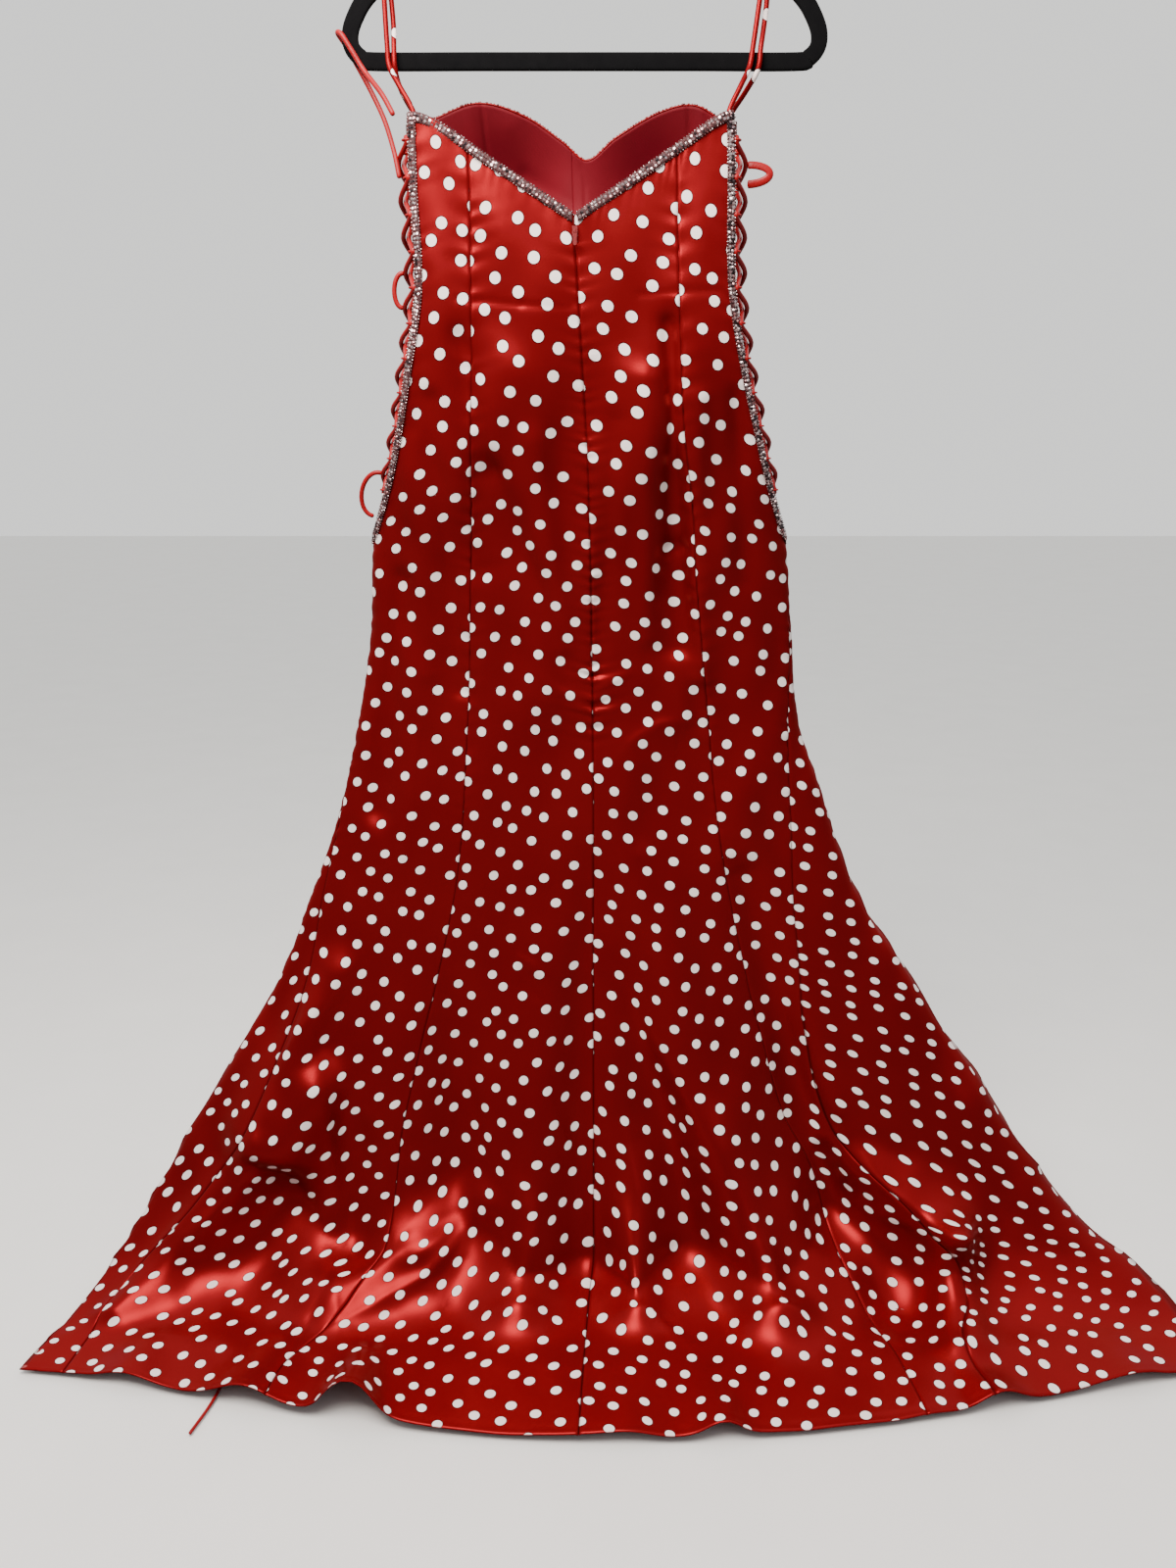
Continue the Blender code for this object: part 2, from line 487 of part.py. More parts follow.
def sheet(name, rs, downs, thickness, material, offset=0.0):
    """A wall over a patch of the cloth: a grid extruded, its two faces laid along the surface.

    Both faces follow the surface's own normals, and the narrow faces round the rim are all split
    the same way, so that the edges of two panels stay parallel however the cloth bends at their seam.
    """
    rows, columns = rs.shape
    mesh = bmesh.new()
    bmesh.ops.create_grid(mesh, x_segments=columns - 1, y_segments=rows - 1, size=0.5)
    inner = bmesh.ops.extrude_face_region(mesh, geom=mesh.faces[:])["geom"]
    inner = {item for item in inner if isinstance(item, bmesh.types.BMVert)}
    places = {vert: (round((0.5 - vert.co.y) * (rows - 1)), round((vert.co.x + 0.5) * (columns - 1)))
              for vert in mesh.verts}
    for face in mesh.faces[:]:
        inside = [vert for vert in face.verts if vert in inner]
        if len(inside) == 2:
            outside = [vert for vert in face.verts if vert not in inner]
            bmesh.utils.face_split(face, min(outside, key=places.get), max(inside, key=places.get))
    sides = {True: surface(rs, downs, offset - thickness), False: surface(rs, downs, offset)}
    for vert, place in places.items():
        vert.co = Vector(sides[vert in inner][place])
    bmesh.ops.recalc_face_normals(mesh, faces=mesh.faces)
    if mesh.calc_volume(signed=True) < 0.0:
        bmesh.ops.reverse_faces(mesh, faces=mesh.faces)
    data = bpy.data.meshes.new(name)
    mesh.to_mesh(data)
    mesh.free()
    data.shade_smooth()
    data.set_sharp_from_angle(angle=math.radians(50))
    return link(bpy.data.objects.new(name, data), material)


def curve_points(route, steps):
    """Points on a smooth curve through a route, with the given number of steps between its places."""
    p = np.array(route, float)
    ends = np.concatenate(([2 * p[0] - p[1]], p, [2 * p[-1] - p[-2]]))
    points = []
    for i in range(len(p) - 1):
        a, b, c, d = ends[i:i + 4]
        for t in np.linspace(0.0, 1.0, steps, endpoint=False):
            points.append(0.5 * (2 * b + (c - a) * t + (2 * a - 5 * b + 4 * c - d) * t**2
                                 + (3 * b - a - 3 * c + d) * t**3))
    points.append(p[-1])
    return np.array(points)


def tube(name, points, radius, material, closed=False):
    """A round cord along points, as a curve with a bevel and filled caps."""
    curve = bpy.data.curves.new(name, "CURVE")
    curve.dimensions = "3D"
    curve.bevel_depth = radius
    curve.bevel_resolution = 2
    curve.use_fill_caps = not closed
    spline = curve.splines.new("POLY")
    spline.points.add(len(points) - 1)
    for point, co in zip(spline.points, points):
        point.co = (*co, 1.0)
    spline.use_cyclic_u = closed
    return link(bpy.data.objects.new(name, curve), material)


def build_panels(satin):
    for panel in PANELS:
        rs, downs = panel_grid(panel)
        sheet(panel.name, rs, downs, CLOTH, satin)


def build_neck_trims(stones):
    """The braid of the V: the strip of cloth surface above each back panel's top edge."""
    halves = {"neck_trim_left": PANELS[0:2], "neck_trim_right": PANELS[2:4]}
    for name, panels in halves.items():
        r = np.concatenate([panel_grid(p, 0)[0][0] for p in panels])
        r[0] += TRIM_MITRE
        r[-1] -= TRIM_MITRE
        rs = np.stack((r, r))
        downs = np.stack((neck_down(r), neck_down(r, TRIM_WIDTH)))
        sheet(name, rs, downs, TRIM_THICKNESS, stones, TRIM_PROUD)


def opening_path(side_r):
    """Grid of the braid round a side opening: outer and inner r and down, back edge to front edge."""
    rs, downs = [], []
    turn = 1.0 if side_r < 1.0 else -1.0
    for face, order in (("back", range(OPENING_ROW)), ("front", range(OPENING_ROW - 1, -1, -1))):
        toward = 1.0 if face == "back" else -1.0
        if face == "front":
            rs.append((side_r, side_r))
            downs.append((OPENING_END - TRIM_FOOT_OUTER, OPENING_END - TRIM_FOOT_INNER))
        for i in order:
            length, down = opening_length(i, face)
            outer = float(r_from_side(side_r, toward * (length - TRIM_GAP), down)[0])
            inner = float(r_from_side(side_r, toward * (length - TRIM_WIDTH), down)[0])
            rs.append((outer, inner))
            edge = np.array([outer])
            trim = TRIM_WIDTH + SEAM_GAP if face == "back" else 0.0
            at = float(row_downs(i, edge, trim)[0])
            if i == 0:
                at = float(neck_down(edge)[0])
            downs.append((at, at))
    rs, downs = np.array(rs), np.array(downs)
    return (rs, downs) if turn > 0 else (rs[:, ::-1], downs[:, ::-1])


def build_side_trims(stones):
    for name, side_r in (("side_trim_left", 0.0), ("side_trim_right", 2.0)):
        rs, downs = opening_path(side_r)
        sheet(name, rs, downs, TRIM_THICKNESS, stones, TRIM_PROUD)


def build_lining(crimson):
    """The bodice lining inside the front panels, in two halves that meet at the centre front."""
    side_right, centre, side_left = (panel_grid(p)[0] for p in PANELS[4:7])
    half = centre.shape[1] // 2
    rows = NECK_ROWS + 1
    cover = CLOTH + LINING_GAP
    left = np.hstack((centre[:rows + 1, half:-1], side_left[:rows + 1]))
    right = np.hstack((side_right[:rows + 1, :-1], centre[:rows + 1, :half + 1]))
    for name, rs, column, toward in (("lining_left", left, 0, 1.0), ("lining_right", right, -1, -1.0)):
        downs = np.array([row_downs(i, rs[i]) for i in range(rows + 1)])
        rs[:, column] = half_gap(rs[:, column], downs[:, column], toward * LINING_PARTING)
        sheet(name, rs, downs, LINING_THICKNESS, crimson, -cover)


def build_picot(crimson):
    """The beaded cord along the sweetheart edge, on top of the front panels and the lining."""
    r = np.concatenate([panel_grid(p, 0)[0][0] for p in PANELS[4:7]])
    r = r[np.concatenate(([True], np.diff(r) > 1e-3))]
    edge = surface(r, neck_down(r), -CLOTH - LINING_GAP)
    along = np.gradient(edge, axis=0)
    along /= np.linalg.norm(along, axis=1, keepdims=True)
    up = np.array((0.0, 0.0, 1.0)) - along[:, 2:] * along
    up /= np.linalg.norm(up, axis=1, keepdims=True)
    tube("picot_edge", edge + up * (PICOT_RADIUS + PICOT_GAP), PICOT_RADIUS, crimson)


def side_points(side_r, lengths, downs, offset):
    """Points round a side opening at lengths from the side line, moved out by offset."""
    return surface(r_from_side(side_r, np.array(lengths), np.array(downs)), np.array(downs), offset)


def clear_half(down, face):
    """Half width of the clear opening, where a strand turns along the braid."""
    return float(smooth(OPENINGS, face, "down", down)) - TRIM_WIDTH - LACE_RADIUS - LACE_GAP


def lace_strand(side_r, starts_behind):
    """Route of one strand of the lacing, from the top of the opening to its foot."""
    points = []
    turns = np.linspace(LACE_TOP, LACE_FOOT, LACE_TURNS)
    for k, down in enumerate(turns):
        behind = (k % 2 == 0) == starts_behind
        face, toward = ("back", 1.0) if behind else ("front", -1.0)
        length = toward * clear_half(down, face)
        ends = [down - LACE_TURN_HALF, down + LACE_TURN_HALF]
        points.extend(side_points(side_r, [length, length], ends, 0.0))
        if k < LACE_TURNS - 1:
            middle = 0.5 * (down + turns[k + 1])
            length = 0.5 * (clear_half(middle, "back") - clear_half(middle, "front"))
            lift = LACE_CROSSING * (1.0 if (k % 2 == 0) == starts_behind else -1.0)
            points.extend(side_points(side_r, [length], [middle], lift))
    return points


def lace_loop(loop):
    """Route of a free loop: half an ellipse that starts on top of a crossing of the lacing."""
    pitch = (LACE_FOOT - LACE_TOP) / (LACE_TURNS - 1)
    start = LACE_TOP + (loop.crossing + 0.5) * pitch
    seat = LACE_CROSSING + LACE_RADIUS + SEAM_GAP
    points = []
    for t in np.linspace(0.0, math.pi, LOOP_STEPS):
        down = start + 0.5 * loop.length * (1.0 - math.cos(t))
        middle = 0.5 * (clear_half(down, "back") - clear_half(down, "front"))
        points.extend(side_points(loop.side_r, [middle], [down], seat + loop.reach * math.sin(t)))
    return points


def build_lacing(satin):
    for side, side_r in (("left", 0.0), ("right", 2.0)):
        for name, starts_behind in (("a", True), ("b", False)):
            tube(f"lace_{side}_{name}", lace_strand(side_r, starts_behind), LACE_RADIUS, satin)
    for loop in LACE_LOOPS:
        tube(loop.name, lace_loop(loop), LACE_RADIUS, satin)
    tube("lace_catch", curve_points(LACE_CATCH, 3), LACE_RADIUS, satin)
    tube("lace_tail", curve_points(LACE_TAIL, 3), LACE_RADIUS, satin)


def build_straps(satin):
    tube("strap_left", curve_points(STRAP_LEFT, 2), STRAP_RADIUS, satin)
    tube("strap_right", curve_points(STRAP_RIGHT, 2), STRAP_RADIUS, satin)


def flat_outline(name, outlines, y, thickness, material):
    """A flat plate in the XZ plane from closed outlines; an inner one is a window."""
    curve = bpy.data.curves.new(name, "CURVE")
    curve.dimensions = "2D"
    curve.fill_mode = "BOTH"
    curve.extrude = 0.5 * thickness
    for outline in outlines:
        spline = curve.splines.new("POLY")
        spline.points.add(len(outline) - 1)
        for point, spot in zip(spline.points, outline):
            point.co = (spot[0], spot[1], 0.0, 1.0)
        spline.use_cyclic_u = True
    obj = bpy.data.objects.new(name, curve)
    obj.rotation_euler.x = math.pi / 2
    obj.location.y = y
    return link(obj, material)


def build_hanger(flock, steel):
    line = np.array(HANGER_LINE + (HANGER_NECK,))
    line = np.concatenate((line, (line * (-1.0, 1.0))[-2:0:-1]))
    ahead, before = np.roll(line, -1, axis=0), np.roll(line, 1, axis=0)
    along = (ahead - before) / np.linalg.norm(ahead - before, axis=1, keepdims=True)
    out = np.stack((along[:, 1], -along[:, 0]), -1) * HANGER_HALF_HEIGHT
    flat_outline("hanger_body", (line + out, line - out), 0.0, HANGER_DEPTH, flock)
    centre = HOOK_RADIUS - HOOK_BEND
    angles = np.radians(np.linspace(*HOOK_ARC, 22))
    arc = [(HOOK_BEND * math.cos(a), 0.0, centre + HOOK_BEND * math.sin(a)) for a in angles]
    stem = [(0.0, 0.0, HOOK_FOOT)] + [(spot.x, 0.0, spot.z) for spot in HOOK_STEM]
    tube("hanger_hook", stem + arc, HOOK_RADIUS, steel)


def build_zip(steel):
    """The slider with its bridge, and the pull tab that swings on the bridge's foot."""
    down = np.array([SLIDER_DOWN])
    seat = surface(r_at_x(seam_x(CENTRE_BACK, down), down), down)[0]
    front = seat[1] - 2.0 * SEAM_GAP - SLIDER.y
    pivot = Vector((seat[0], front - PIVOT_STANDOFF, seat[2]))
    mesh = bmesh.new()
    bmesh.ops.create_cube(mesh, size=1.0)
    bmesh.ops.scale(mesh, verts=mesh.verts, vec=SLIDER)
    face = min(mesh.faces, key=lambda f: f.calc_center_median().y)
    bmesh.ops.inset_region(mesh, faces=[face], thickness=0.5 * (SLIDER.x - BRIDGE.x))
    for vert in face.verts:
        vert.co.x = math.copysign(0.5 * BRIDGE.x, vert.co.x)
        vert.co.z = math.copysign(0.5 * BRIDGE.z, vert.co.z)
    bridge = bmesh.ops.extrude_face_region(mesh, geom=[face])["geom"]
    mesh.faces.remove(face)
    moved = [item for item in bridge if isinstance(item, bmesh.types.BMVert)]
    bmesh.ops.translate(mesh, verts=moved, vec=(0.0, -BRIDGE.y, 0.0))
    bmesh.ops.translate(mesh, verts=mesh.verts, vec=(seat[0], front + 0.5 * SLIDER.y, seat[2]))
    data = bpy.data.meshes.new("zip_slider")
    mesh.to_mesh(data)
    mesh.free()
    link(bpy.data.objects.new("zip_slider", data), steel)
    half, slot = PULL_HALF_WIDTH, PULL_SLOT_HALF
    outline = [(-slot, PULL_EAR), (-slot, -PULL_THROAT), (slot, -PULL_THROAT), (slot, PULL_EAR), (half, PULL_EAR)]
    turn = np.radians(np.linspace(0.0, -180.0, 9))
    outline += [(half * math.cos(a), half - PULL_LENGTH + half * math.sin(a)) for a in turn]
    outline.append((-half, PULL_EAR))
    pull = flat_outline("zip_pull", [outline], 0.0, PULL_THICKNESS, steel)
    pull.location = pivot


def main():
    for obj in list(bpy.data.objects):
        bpy.data.objects.remove(obj, do_unlink=True)
    global GOWN
    GOWN = bpy.data.collections.new("formal_gown")
    bpy.context.scene.collection.children.link(GOWN)
    satin = new_material("satin", (0.50, 0.01, 0.01), 0.35)
    crimson = new_material("crimson_lining", (0.30, 0.01, 0.02), 0.6)
    stones = new_material("stones", (0.6, 0.55, 0.56), 0.2, 0.7)
    flock = new_material("flock", (0.008, 0.008, 0.009), 0.9)
    steel = new_material("steel", (0.6, 0.6, 0.6), 0.25, 1.0)
    build_panels(satin)
    build_neck_trims(stones)
    build_side_trims(stones)
    build_lining(crimson)
    build_picot(crimson)
    build_lacing(satin)
    build_straps(satin)
    build_hanger(flock, steel)
    build_zip(steel)


if __name__ == "__main__":
    main()
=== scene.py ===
"""Looks of a red polka-dot satin gown that hangs, back outward, from a flat flocked hanger.

Metres, +Z up, the gown's back towards -Y, the origin at the inside top of the hanger's hook. The
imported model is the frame, and each sub-assembly is a class that builds its finer meshes around it.
"""
from __future__ import annotations

import logging
import math
from collections.abc import Callable
from dataclasses import dataclass
from enum import Enum

import bmesh
import bpy
import numpy as np
from mathutils import Matrix, Vector

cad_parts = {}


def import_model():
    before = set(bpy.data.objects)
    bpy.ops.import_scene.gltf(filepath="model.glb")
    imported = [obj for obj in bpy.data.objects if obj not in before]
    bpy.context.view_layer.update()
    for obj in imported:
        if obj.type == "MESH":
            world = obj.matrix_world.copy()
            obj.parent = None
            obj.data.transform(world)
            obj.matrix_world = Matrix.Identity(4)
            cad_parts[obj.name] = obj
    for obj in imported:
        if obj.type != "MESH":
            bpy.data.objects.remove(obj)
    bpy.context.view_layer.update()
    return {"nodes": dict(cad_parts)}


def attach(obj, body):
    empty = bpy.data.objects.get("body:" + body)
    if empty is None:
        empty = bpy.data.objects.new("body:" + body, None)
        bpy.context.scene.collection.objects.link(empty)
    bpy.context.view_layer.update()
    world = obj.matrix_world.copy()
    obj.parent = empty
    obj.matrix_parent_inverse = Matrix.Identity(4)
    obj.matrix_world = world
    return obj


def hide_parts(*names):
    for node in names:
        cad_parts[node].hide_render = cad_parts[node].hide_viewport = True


LOG = logging.getLogger("gown")
MM = 0.001
BODY = "gown"
Array = np.ndarray
# lengths down the cloth: the top corners of the side openings, where the back's seams stop following
# the neck, where the rows under the neck have become level, and the foot of the openings
CORNER_DOWN, NECK_SEAM_DOWN, NECK_END, OPENING_END = 0.28, 0.30, 0.400, 0.667
# the distance between the front's princess seams, as a share of the front's width
FRONT_PRINCESS_SHARE = 0.42
# the braid's width, and how far its outer edge stays inside the opening's
TRIM_WIDTH, TRIM_GAP = 8.5 * MM, 0.7 * MM
FULL_TURN = 2.0 * math.pi


class Side(Enum):
    """Left or right of the gown as the viewer sees it, as the place of its side line round the gown."""

    LEFT = 0.0
    RIGHT = 2.0


class Slot(Enum):
    """The record's material slots."""

    SATIN = "dotted_satin"
    LINING = "crimson_lining"
    STONES = "rhinestones"
    FLOCK = "flock"
    STEEL = "bright_steel"
    ZIP = "zip_metal"


@dataclass(frozen=True)
class Level:
    """One section of the gown: its length down the cloth, side edges, depths and heights."""

    down: float
    left: float
    right: float
    side_y: float
    back_y: float
    front_y: float
    side_z: float
    back_z: float
    front_z: float
    square: float
    root: float


@dataclass(frozen=True)
class Edge:
    """A place on a top edge: how far down the cloth it is at x."""

    x: float
    down: float


@dataclass(frozen=True)
class Seam:
    """A place on a seam: its x at a length down the cloth."""

    down: float
    x: float


@dataclass(frozen=True)
class Opening:
    """Half widths of a laced side opening behind and before the side line, its braid included."""

    down: float
    back: float
    front: float


@dataclass(frozen=True)
class Fold:
    """A soft ridge (height over 0) or trough along a line on the cloth."""

    x0: float
    down0: float
    x1: float
    down1: float
    width0: float
    width1: float
    height0: float
    height1: float


@dataclass(frozen=True)
class Crest:
    """A crisp ridge (height over 0) or crease along a line of places, each an x and a length down.

    The flanks fall off over the widths low and high: low is below a line that runs to the right, and
    left of one that runs down.
    """

    height: float
    low: float
    high: float
    line: tuple[tuple[float, float], ...]


LEVELS = (
    Level(0.235, -0.174, 0.148, 0.004, -0.029, 0.048, -0.235, -0.235, -0.235, 16.0, 0.50),
    Level(0.330, -0.173, 0.150, 0.006, -0.030, 0.058, -0.330, -0.330, -0.330, 16.0, 0.50),
    Level(0.420, -0.172, 0.154, 0.008, -0.027, 0.056, -0.420, -0.420, -0.420, 16.0, 0.50),
    Level(0.490, -0.184, 0.167, 0.016, -0.020, 0.062, -0.490, -0.490, -0.490, 14.0, 0.50),
    Level(0.560, -0.199, 0.186, 0.030, -0.006, 0.078, -0.560, -0.560, -0.560, 10.0, 0.50),
    Level(0.660, -0.226, 0.214, 0.056, 0.022, 0.108, -0.660, -0.660, -0.660, 5.0, 0.50),
    Level(0.760, -0.237, 0.228, 0.072, 0.040, 0.128, -0.760, -0.760, -0.760, 4.5, 0.50),
    Level(0.870, -0.259, 0.246, 0.077, 0.045, 0.138, -0.870, -0.870, -0.870, 4.0, 0.50),
    Level(0.980, -0.288, 0.284, 0.073, 0.041, 0.144, -0.980, -0.980, -0.980, 4.0, 0.50),
    Level(1.090, -0.329, 0.333, 0.063, 0.031, 0.148, -1.090, -1.090, -1.090, 4.0, 0.50),
    Level(1.190, -0.377, 0.405, 0.048, 0.016, 0.148, -1.190, -1.190, -1.190, 4.0, 0.50),
    Level(1.290, -0.439, 0.476, 0.026, -0.006, 0.144, -1.290, -1.290, -1.290, 4.0, 0.50),
    Level(1.380, -0.495, 0.536, -0.003, -0.037, 0.138, -1.380, -1.380, -1.380, 3.5, 0.60),
    Level(1.440, -0.529, 0.590, -0.034, -0.068, 0.132, -1.440, -1.438, -1.440, 3.0, 0.70),
    Level(1.480, -0.553, 0.640, -0.062, -0.094, 0.124, -1.476, -1.472, -1.484, 2.6, 0.85),
    Level(1.515, -0.573, 0.670, -0.104, -0.128, 0.102, -1.497, -1.492, -1.5075, 2.2, 1.00),
    Level(1.595, -0.590, 0.684, -0.152, -0.205, 0.026, -1.5025, -1.498, -1.5085, 2.0, 1.30),
    Level(1.675, -0.603, 0.692, -0.198, -0.290, -0.058, -1.5030, -1.500, -1.5085, 2.0, 1.50),
)
BACK_NECK_LEFT = (Edge(-0.175, 0.270), Edge(-0.150, 0.271), Edge(-0.087, 0.308), Edge(-0.011, 0.355))
BACK_NECK_RIGHT = (
    Edge(-0.011, 0.355), Edge(0.039, 0.325), Edge(0.093, 0.291), Edge(0.128, 0.270), Edge(0.150, 0.267),
)
FRONT_NECK = (
    Edge(-0.175, 0.270), Edge(-0.146, 0.258), Edge(-0.104, 0.244), Edge(-0.056, 0.255),
    Edge(-0.022, 0.276), Edge(0.001, 0.292), Edge(0.030, 0.272), Edge(0.075, 0.250),
    Edge(0.108, 0.246), Edge(0.135, 0.260), Edge(0.150, 0.268),
)
CENTRE_BACK = (
    Seam(0.34, -0.011), Seam(0.46, -0.004), Seam(0.59, 0.003), Seam(0.82, 0.008),
    Seam(1.27, 0.009), Seam(1.43, 0.008), Seam(1.50, 0.003), Seam(1.68, -0.007),
)
PRINCESS_LEFT = (
    Seam(0.27, -0.107), Seam(0.42, -0.108), Seam(0.67, -0.120), Seam(0.88, -0.132), Seam(1.00, -0.142),
    Seam(1.11, -0.161), Seam(1.33, -0.213), Seam(1.44, -0.230), Seam(1.51, -0.262), Seam(1.60, -0.312),
    Seam(1.68, -0.326),
)
PRINCESS_RIGHT = (
    Seam(0.27, 0.084), Seam(0.43, 0.090), Seam(0.67, 0.114), Seam(0.84, 0.135), Seam(1.00, 0.154),
    Seam(1.16, 0.189), Seam(1.32, 0.236), Seam(1.39, 0.272), Seam(1.46, 0.296), Seam(1.54, 0.326),
    Seam(1.68, 0.346),
)
SIDE_LEFT_INSET = (
    Seam(0.66, 0.0), Seam(0.95, 0.001), Seam(1.06, 0.012), Seam(1.16, 0.036), Seam(1.21, 0.046),
    Seam(1.34, 0.068), Seam(1.41, 0.060), Seam(1.49, 0.040), Seam(1.60, 0.046), Seam(1.68, 0.052),
)
SIDE_RIGHT_INSET = (
    Seam(0.66, 0.0), Seam(0.72, 0.0), Seam(0.85, 0.014), Seam(1.00, 0.056), Seam(1.11, 0.101),
    Seam(1.21, 0.165), Seam(1.34, 0.216), Seam(1.41, 0.190), Seam(1.47, 0.214), Seam(1.56, 0.272),
    Seam(1.68, 0.276),
)
OPENINGS = (
    Opening(0.20, 0.0420, 0.0360), Opening(0.45, 0.0390, 0.0350), Opening(0.55, 0.0320, 0.0290),
    Opening(0.62, 0.0225, 0.0215), Opening(0.65, 0.0130, 0.0130), Opening(0.667, 0.0, 0.0),
)
BACK_FOLDS = (
    # bodice and hips
    Fold(-0.120, 0.47, -0.108, 0.68, 0.016, 0.022, -0.005, -0.007),
    Fold(0.082, 0.45, 0.096, 0.77, 0.013, 0.018, -0.006, -0.009),
    Fold(0.112, 0.52, 0.125, 0.80, 0.012, 0.016, 0.004, 0.006),
    Fold(-0.196, 0.70, -0.236, 0.96, 0.012, 0.018, -0.006, -0.009),
    Fold(-0.060, 0.50, -0.030, 0.82, 0.030, 0.035, 0.006, 0.008),
    Fold(0.045, 0.50, 0.050, 0.80, 0.026, 0.030, 0.005, 0.007),
    # long flutes of the skirt, which deepen towards the floor
    Fold(-0.100, 0.95, -0.230, 1.30, 0.034, 0.046, 0.004, 0.014),
    Fold(-0.160, 1.06, -0.146, 1.42, 0.028, 0.038, -0.005, -0.026),
    Fold(-0.040, 1.08, -0.076, 1.51, 0.028, 0.034, 0.004, 0.024),
    Fold(0.000, 1.04, 0.000, 1.46, 0.026, 0.030, -0.003, -0.016),
    Fold(0.050, 1.34, 0.056, 1.51, 0.024, 0.028, 0.004, 0.020),
    Fold(0.012, 1.02, 0.122, 1.45, 0.030, 0.034, -0.005, -0.022),
    Fold(0.055, 1.02, 0.214, 1.52, 0.030, 0.042, 0.009, 0.036),
    Fold(0.180, 1.04, 0.286, 1.42, 0.024, 0.034, -0.009, -0.034),
    Fold(0.300, 1.36, 0.352, 1.50, 0.036, 0.044, -0.020, -0.018),
    Fold(0.285, 1.35, 0.420, 1.44, 0.024, 0.030, 0.018, 0.030),
    Fold(0.420, 1.44, 0.412, 1.58, 0.026, 0.028, 0.030, 0.016),
    Fold(0.480, 1.30, 0.620, 1.46, 0.050, 0.036, 0.012, 0.022),
    Fold(-0.290, 1.15, -0.392, 1.33, 0.026, 0.028, 0.014, 0.026),
    Fold(-0.315, 1.28, -0.352, 1.34, 0.032, 0.036, 0.026, 0.034),
    Fold(-0.276, 1.30, -0.268, 1.44, 0.028, 0.030, -0.010, -0.026),
    Fold(-0.128, 1.41, -0.285, 1.50, 0.026, 0.042, 0.016, 0.024),
    Fold(-0.400, 1.38, -0.530, 1.53, 0.030, 0.030, 0.026, 0.018),
    Fold(-0.340, 1.42, -0.400, 1.49, 0.040, 0.040, -0.022, -0.012),
    # waves of the hem on the floor
    Fold(-0.232, 1.585, -0.236, 1.68, 0.018, 0.026, 0.006, 0.034),
    Fold(-0.320, 1.56, -0.350, 1.68, 0.024, 0.040, 0.006, 0.020),
    Fold(0.138, 1.60, 0.140, 1.68, 0.016, 0.020, 0.003, 0.012),
    Fold(0.400, 1.60, 0.425, 1.68, 0.020, 0.026, 0.004, 0.016),
    Fold(0.560, 1.58, 0.575, 1.68, 0.026, 0.040, 0.003, 0.012),
    Fold(-0.470, 1.58, -0.480, 1.68, 0.030, 0.040, 0.003, 0.010),
    Fold(0.020, 1.60, 0.030, 1.68, 0.040, 0.050, 0.002, 0.007),
)
FRONT_FOLDS = (
    # the two cups of the bodice
    Fold(-0.078, 0.318, -0.078, 0.322, 0.052, 0.052, 0.034, 0.034),
    Fold(0.072, 0.316, 0.072, 0.320, 0.052, 0.052, 0.034, 0.034),
    # flutes of the skirt
    Fold(-0.150, 0.80, -0.240, 1.46, 0.030, 0.050, 0.004, 0.030),
    Fold(-0.110, 0.90, -0.130, 1.46, 0.028, 0.040, -0.004, -0.026),
    Fold(-0.060, 0.90, -0.030, 1.46, 0.030, 0.046, 0.004, 0.026),
    Fold(0.020, 0.95, 0.070, 1.46, 0.028, 0.040, -0.004, -0.024),
    Fold(0.080, 0.85, 0.180, 1.46, 0.030, 0.046, 0.005, 0.030),
    Fold(0.150, 0.90, 0.280, 1.36, 0.030, 0.044, -0.004, -0.022),
    Fold(0.200, 0.95, 0.400, 1.40, 0.034, 0.052, 0.004, 0.026),
    Fold(-0.240, 0.98, -0.380, 1.46, 0.030, 0.048, -0.004, -0.022),
)
# creases that only the fine surface has, a few millimetres high
BACK_CREASES = (
    # pressed waist crease, in three stretches
    Fold(-0.122, 0.428, -0.060, 0.433, 0.003, 0.003, -0.0007, -0.0009),
    Fold(-0.060, 0.433, -0.014, 0.436, 0.003, 0.003, -0.0009, -0.0006),
    Fold(0.052, 0.424, 0.140, 0.420, 0.003, 0.003, -0.0007, -0.0009),
    # pressed creases of the hips and thighs
    Fold(-0.188, 0.865, -0.206, 1.010, 0.005, 0.007, 0.0016, 0.0022),
    Fold(0.236, 1.050, 0.262, 1.150, 0.006, 0.008, 0.0018, 0.0024),
    # drag lines from the hips to the foot of the zip
    Fold(-0.122, 0.460, -0.096, 0.587, 0.012, 0.014, -0.0036, -0.0056),
    Fold(-0.096, 0.587, -0.010, 0.822, 0.016, 0.014, -0.0056, -0.0030),
    Fold(-0.050, 0.560, -0.022, 0.770, 0.016, 0.012, 0.0040, 0.0036),
    Fold(-0.152, 0.520, -0.136, 0.820, 0.011, 0.013, -0.0044, -0.0044),
    Fold(-0.178, 0.560, -0.172, 0.800, 0.012, 0.014, 0.0036, 0.0040),
    Fold(0.081, 0.450, 0.095, 0.666, 0.008, 0.010, -0.0040, -0.0050),
    Fold(0.095, 0.666, 0.125, 0.860, 0.010, 0.012, -0.0050, -0.0034),
    Fold(0.060, 0.500, 0.066, 0.760, 0.012, 0.013, 0.0034, 0.0040),
    Fold(0.030, 0.540, 0.014, 0.800, 0.012, 0.010, -0.0036, -0.0042),
    Fold(0.150, 0.520, 0.170, 0.700, 0.012, 0.014, -0.0038, -0.0034),
    # the hem's arch and the edge that curls beside it
    Fold(-0.232, 1.560, -0.238, 1.680, 0.042, 0.050, 0.0, 0.012),
    Fold(0.128, 1.610, 0.130, 1.680, 0.024, 0.028, 0.0, 0.006),
)
